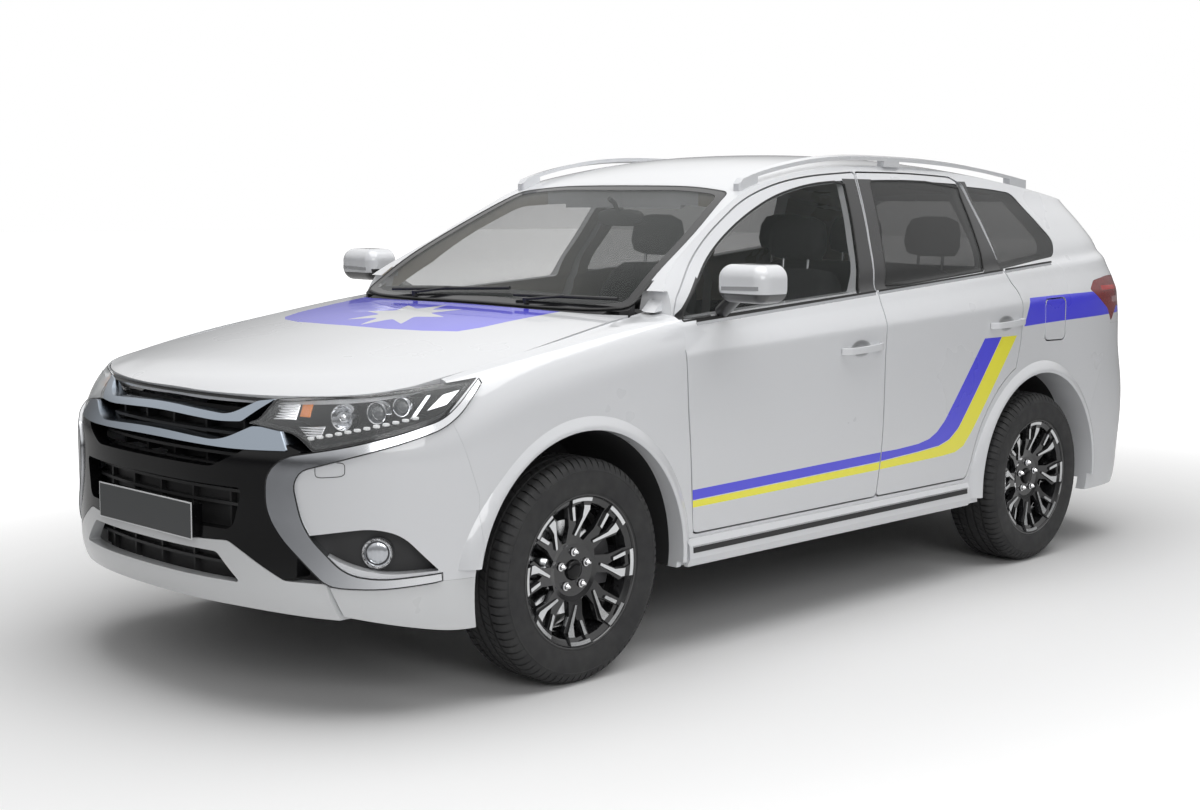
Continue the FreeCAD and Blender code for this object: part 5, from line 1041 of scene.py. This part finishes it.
vinyl = simple("door_card", (0.030, 0.030, 0.031), 0.7)
vinyl.bump(vinyl.cells(700.0), 0.0002, 0.5)
for door, start, end, level, handle_y, speaker_y in (("front", -0.560, -0.020, 0.790, -0.600, -0.700),
                                                     ("rear", 0.360, 0.800, 0.815, 0.330, 0.330)):
    surface = skin_of("door_" + door + "_left")
    card = Form()
    rest = [inner_spot(surface, start + (end - start) * k / 16, level + 0.015 * math.sin(math.pi * k / 16))
            for k in range(17)]
    card.swept(rest, [(-0.034, -0.002), (0.030, -0.002), (0.034, 0.020), (0.022, 0.052), (-0.006, 0.060),
                      (-0.026, 0.050), (-0.034, 0.022)], DOWN)
    handle = [inner_spot(surface, y, z, 0.012)
              for y, z in spread((handle_y - 0.045, 0.925), (handle_y + 0.045, 0.925), 6)]
    card.swept(handle, strip_section(0.008, -0.003, 0.006, 0.004), DOWN, kind=1)
    card.skin([[inner_spot(surface, handle_y + y * share, 0.925 + z * share, 0.0015)
                for y, z in rounded(28, 0.062, 0.030, 1.0, 1.0)] for share in (0.0, 0.6, 1.0)], ends=False, kind=2)
    card.turned([(0.0, 0.003), (0.070, 0.003), (0.078, 0.006), (0.084, 0.002), (0.084, -0.003), (0.0, -0.003)],
                inner_spot(surface, speaker_y, 0.520, 0.002), (-1, 0, 0), steps=40, kind=2)
    pair(card, "door_card_" + door, [vinyl, bright, grained], f"door_{door[0]}{{}}", angle=45)

# Rear lamps. Red one-piece lenses round each rear corner, with fine ribs inside, a pale band for the turn and
# reversing lamps, and a brighter line above it.
red_lens.bump((red_lens.z * 1300.0).sine(), 0.0005, 0.35)
pale_band = red_lens.z.inside(1.062, 1.088, 0.001) * (red_lens.y > 1.90)
glow = red_lens.z.inside(1.118, 1.136, 0.002) * (red_lens.y > 1.80)
red_lens.set(Base_Color=pale_band.mix(glow.mix((0.20, 0.002, 0.003), (0.50, 0.010, 0.010)), (0.40, 0.22, 0.22)))

# Tailgate fittings. A painted strip over the release handle, two small lamps under it, a wiper on the glass and
# a high stop lamp along the top edge.
gate_skin = skin_of("tailgate", "tailgate_glass", "bumper_rear", "roof_panel")


def seat_back(x, z, out=0.0):
    """The place on the car's back at a distance across and a height."""
    spot, normal, _, _ = gate_skin.ray_cast(Vector((x, 3.2, z)), Vector((0, -1, 0)))
    return spot + normal * (out if normal.y > 0 else -out)


def back_row(start, end, steps, out=0.0):
    """Places along the car's back, from one (distance across, height) pair to another."""
    return [seat_back(x, z, out) for x, z in spread(start, end, steps)]


fittings = Form()
fittings.swept(back_row((-0.43, 0.962), (0.43, 0.962), 30),
               [(-0.024, -0.002), (0.024, -0.002), (0.024, 0.006), (0.014, 0.017), (-0.004, 0.020),
                (-0.020, 0.012)], DOWN)
for x0, x1, z, steps, kind, section in (
        (-0.40, 0.40, 0.931, 24, 1, (0.007, -0.001, 0.006, 0.004)),
        (-0.19, -0.13, 0.918, 6, 3, (0.006, -0.001, 0.004, 0.006)),
        (0.13, 0.19, 0.918, 6, 3, (0.006, -0.001, 0.004, 0.006)),
        (-0.17, 0.17, 1.520, 16, 2, (0.008, -0.001, 0.007, 0.005))):
    fittings.swept(back_row((x0, z), (x1, z), steps), strip_section(*section), DOWN, kind=kind)
lamp_white = simple("small_lamp", (0.75, 0.76, 0.77), 0.15, Coat_Weight=1.0)
fittings.make("tailgate_fittings", [plain_paint, grained, red_lens, lamp_white], "tailgate", angle=35)
wiper = Form()
base = seat_back(0.0, 1.150)
out_way = Vector((0, 0.93, 0.36))
wiper.turned([(0.0, 0.022), (0.016, 0.021), (0.021, 0.014), (0.022, -0.003), (0.0, -0.003)], base, out_way,
             steps=24)
arm = back_row((0.012, 1.152), (0.252, 1.197), 8, 0.016)
wiper.swept(arm, strip_section(0.008, -0.002, 0.006, 0.004), facing=-out_way)
blade = back_row((0.06, 1.168), (0.40, 1.226), 12, 0.0078)
wiper.swept(blade, [(-0.0055, 0.006), (-0.0015, -0.0068), (0.0015, -0.0068), (0.0055, 0.006)], facing=-out_way,
            kind=1)
wiper.make("tailgate_wiper", [grained, rubber], "tailgate", angle=35)

# Rear bumper. One plastic cover, painted above a grained black lower part, with a red reflector near each end.
# The reflectors are clipped in from outside.
bumper_paint = lacquer("bumper_paint", WHITE)
lower = (0.480 - (abs(bumper_paint.x) - 0.52).step(0.0, 0.30) * 0.20 - bumper_paint.z).edge(0.0008)
lower = lower * (bumper_paint.y > 2.05)
bumper_paint.set(Base_Color=lower.mix(WHITE, DARK_PLASTIC), Coat_Weight=lower.between(COAT, 0.0),
                 Roughness=lower.between(0.30, 0.60))
dress(bumper_paint, "bumper_rear")
reflectors = Form()
for side in (-1, 1):
    path = back_row((side * 0.53, 0.520), (side * 0.70, 0.520), 10)
    reflectors.swept(path, strip_section(0.013, -0.001, 0.011, 0.005), DOWN)
reflectors.make("rear_reflectors", [red_lens], "shell", angle=35)
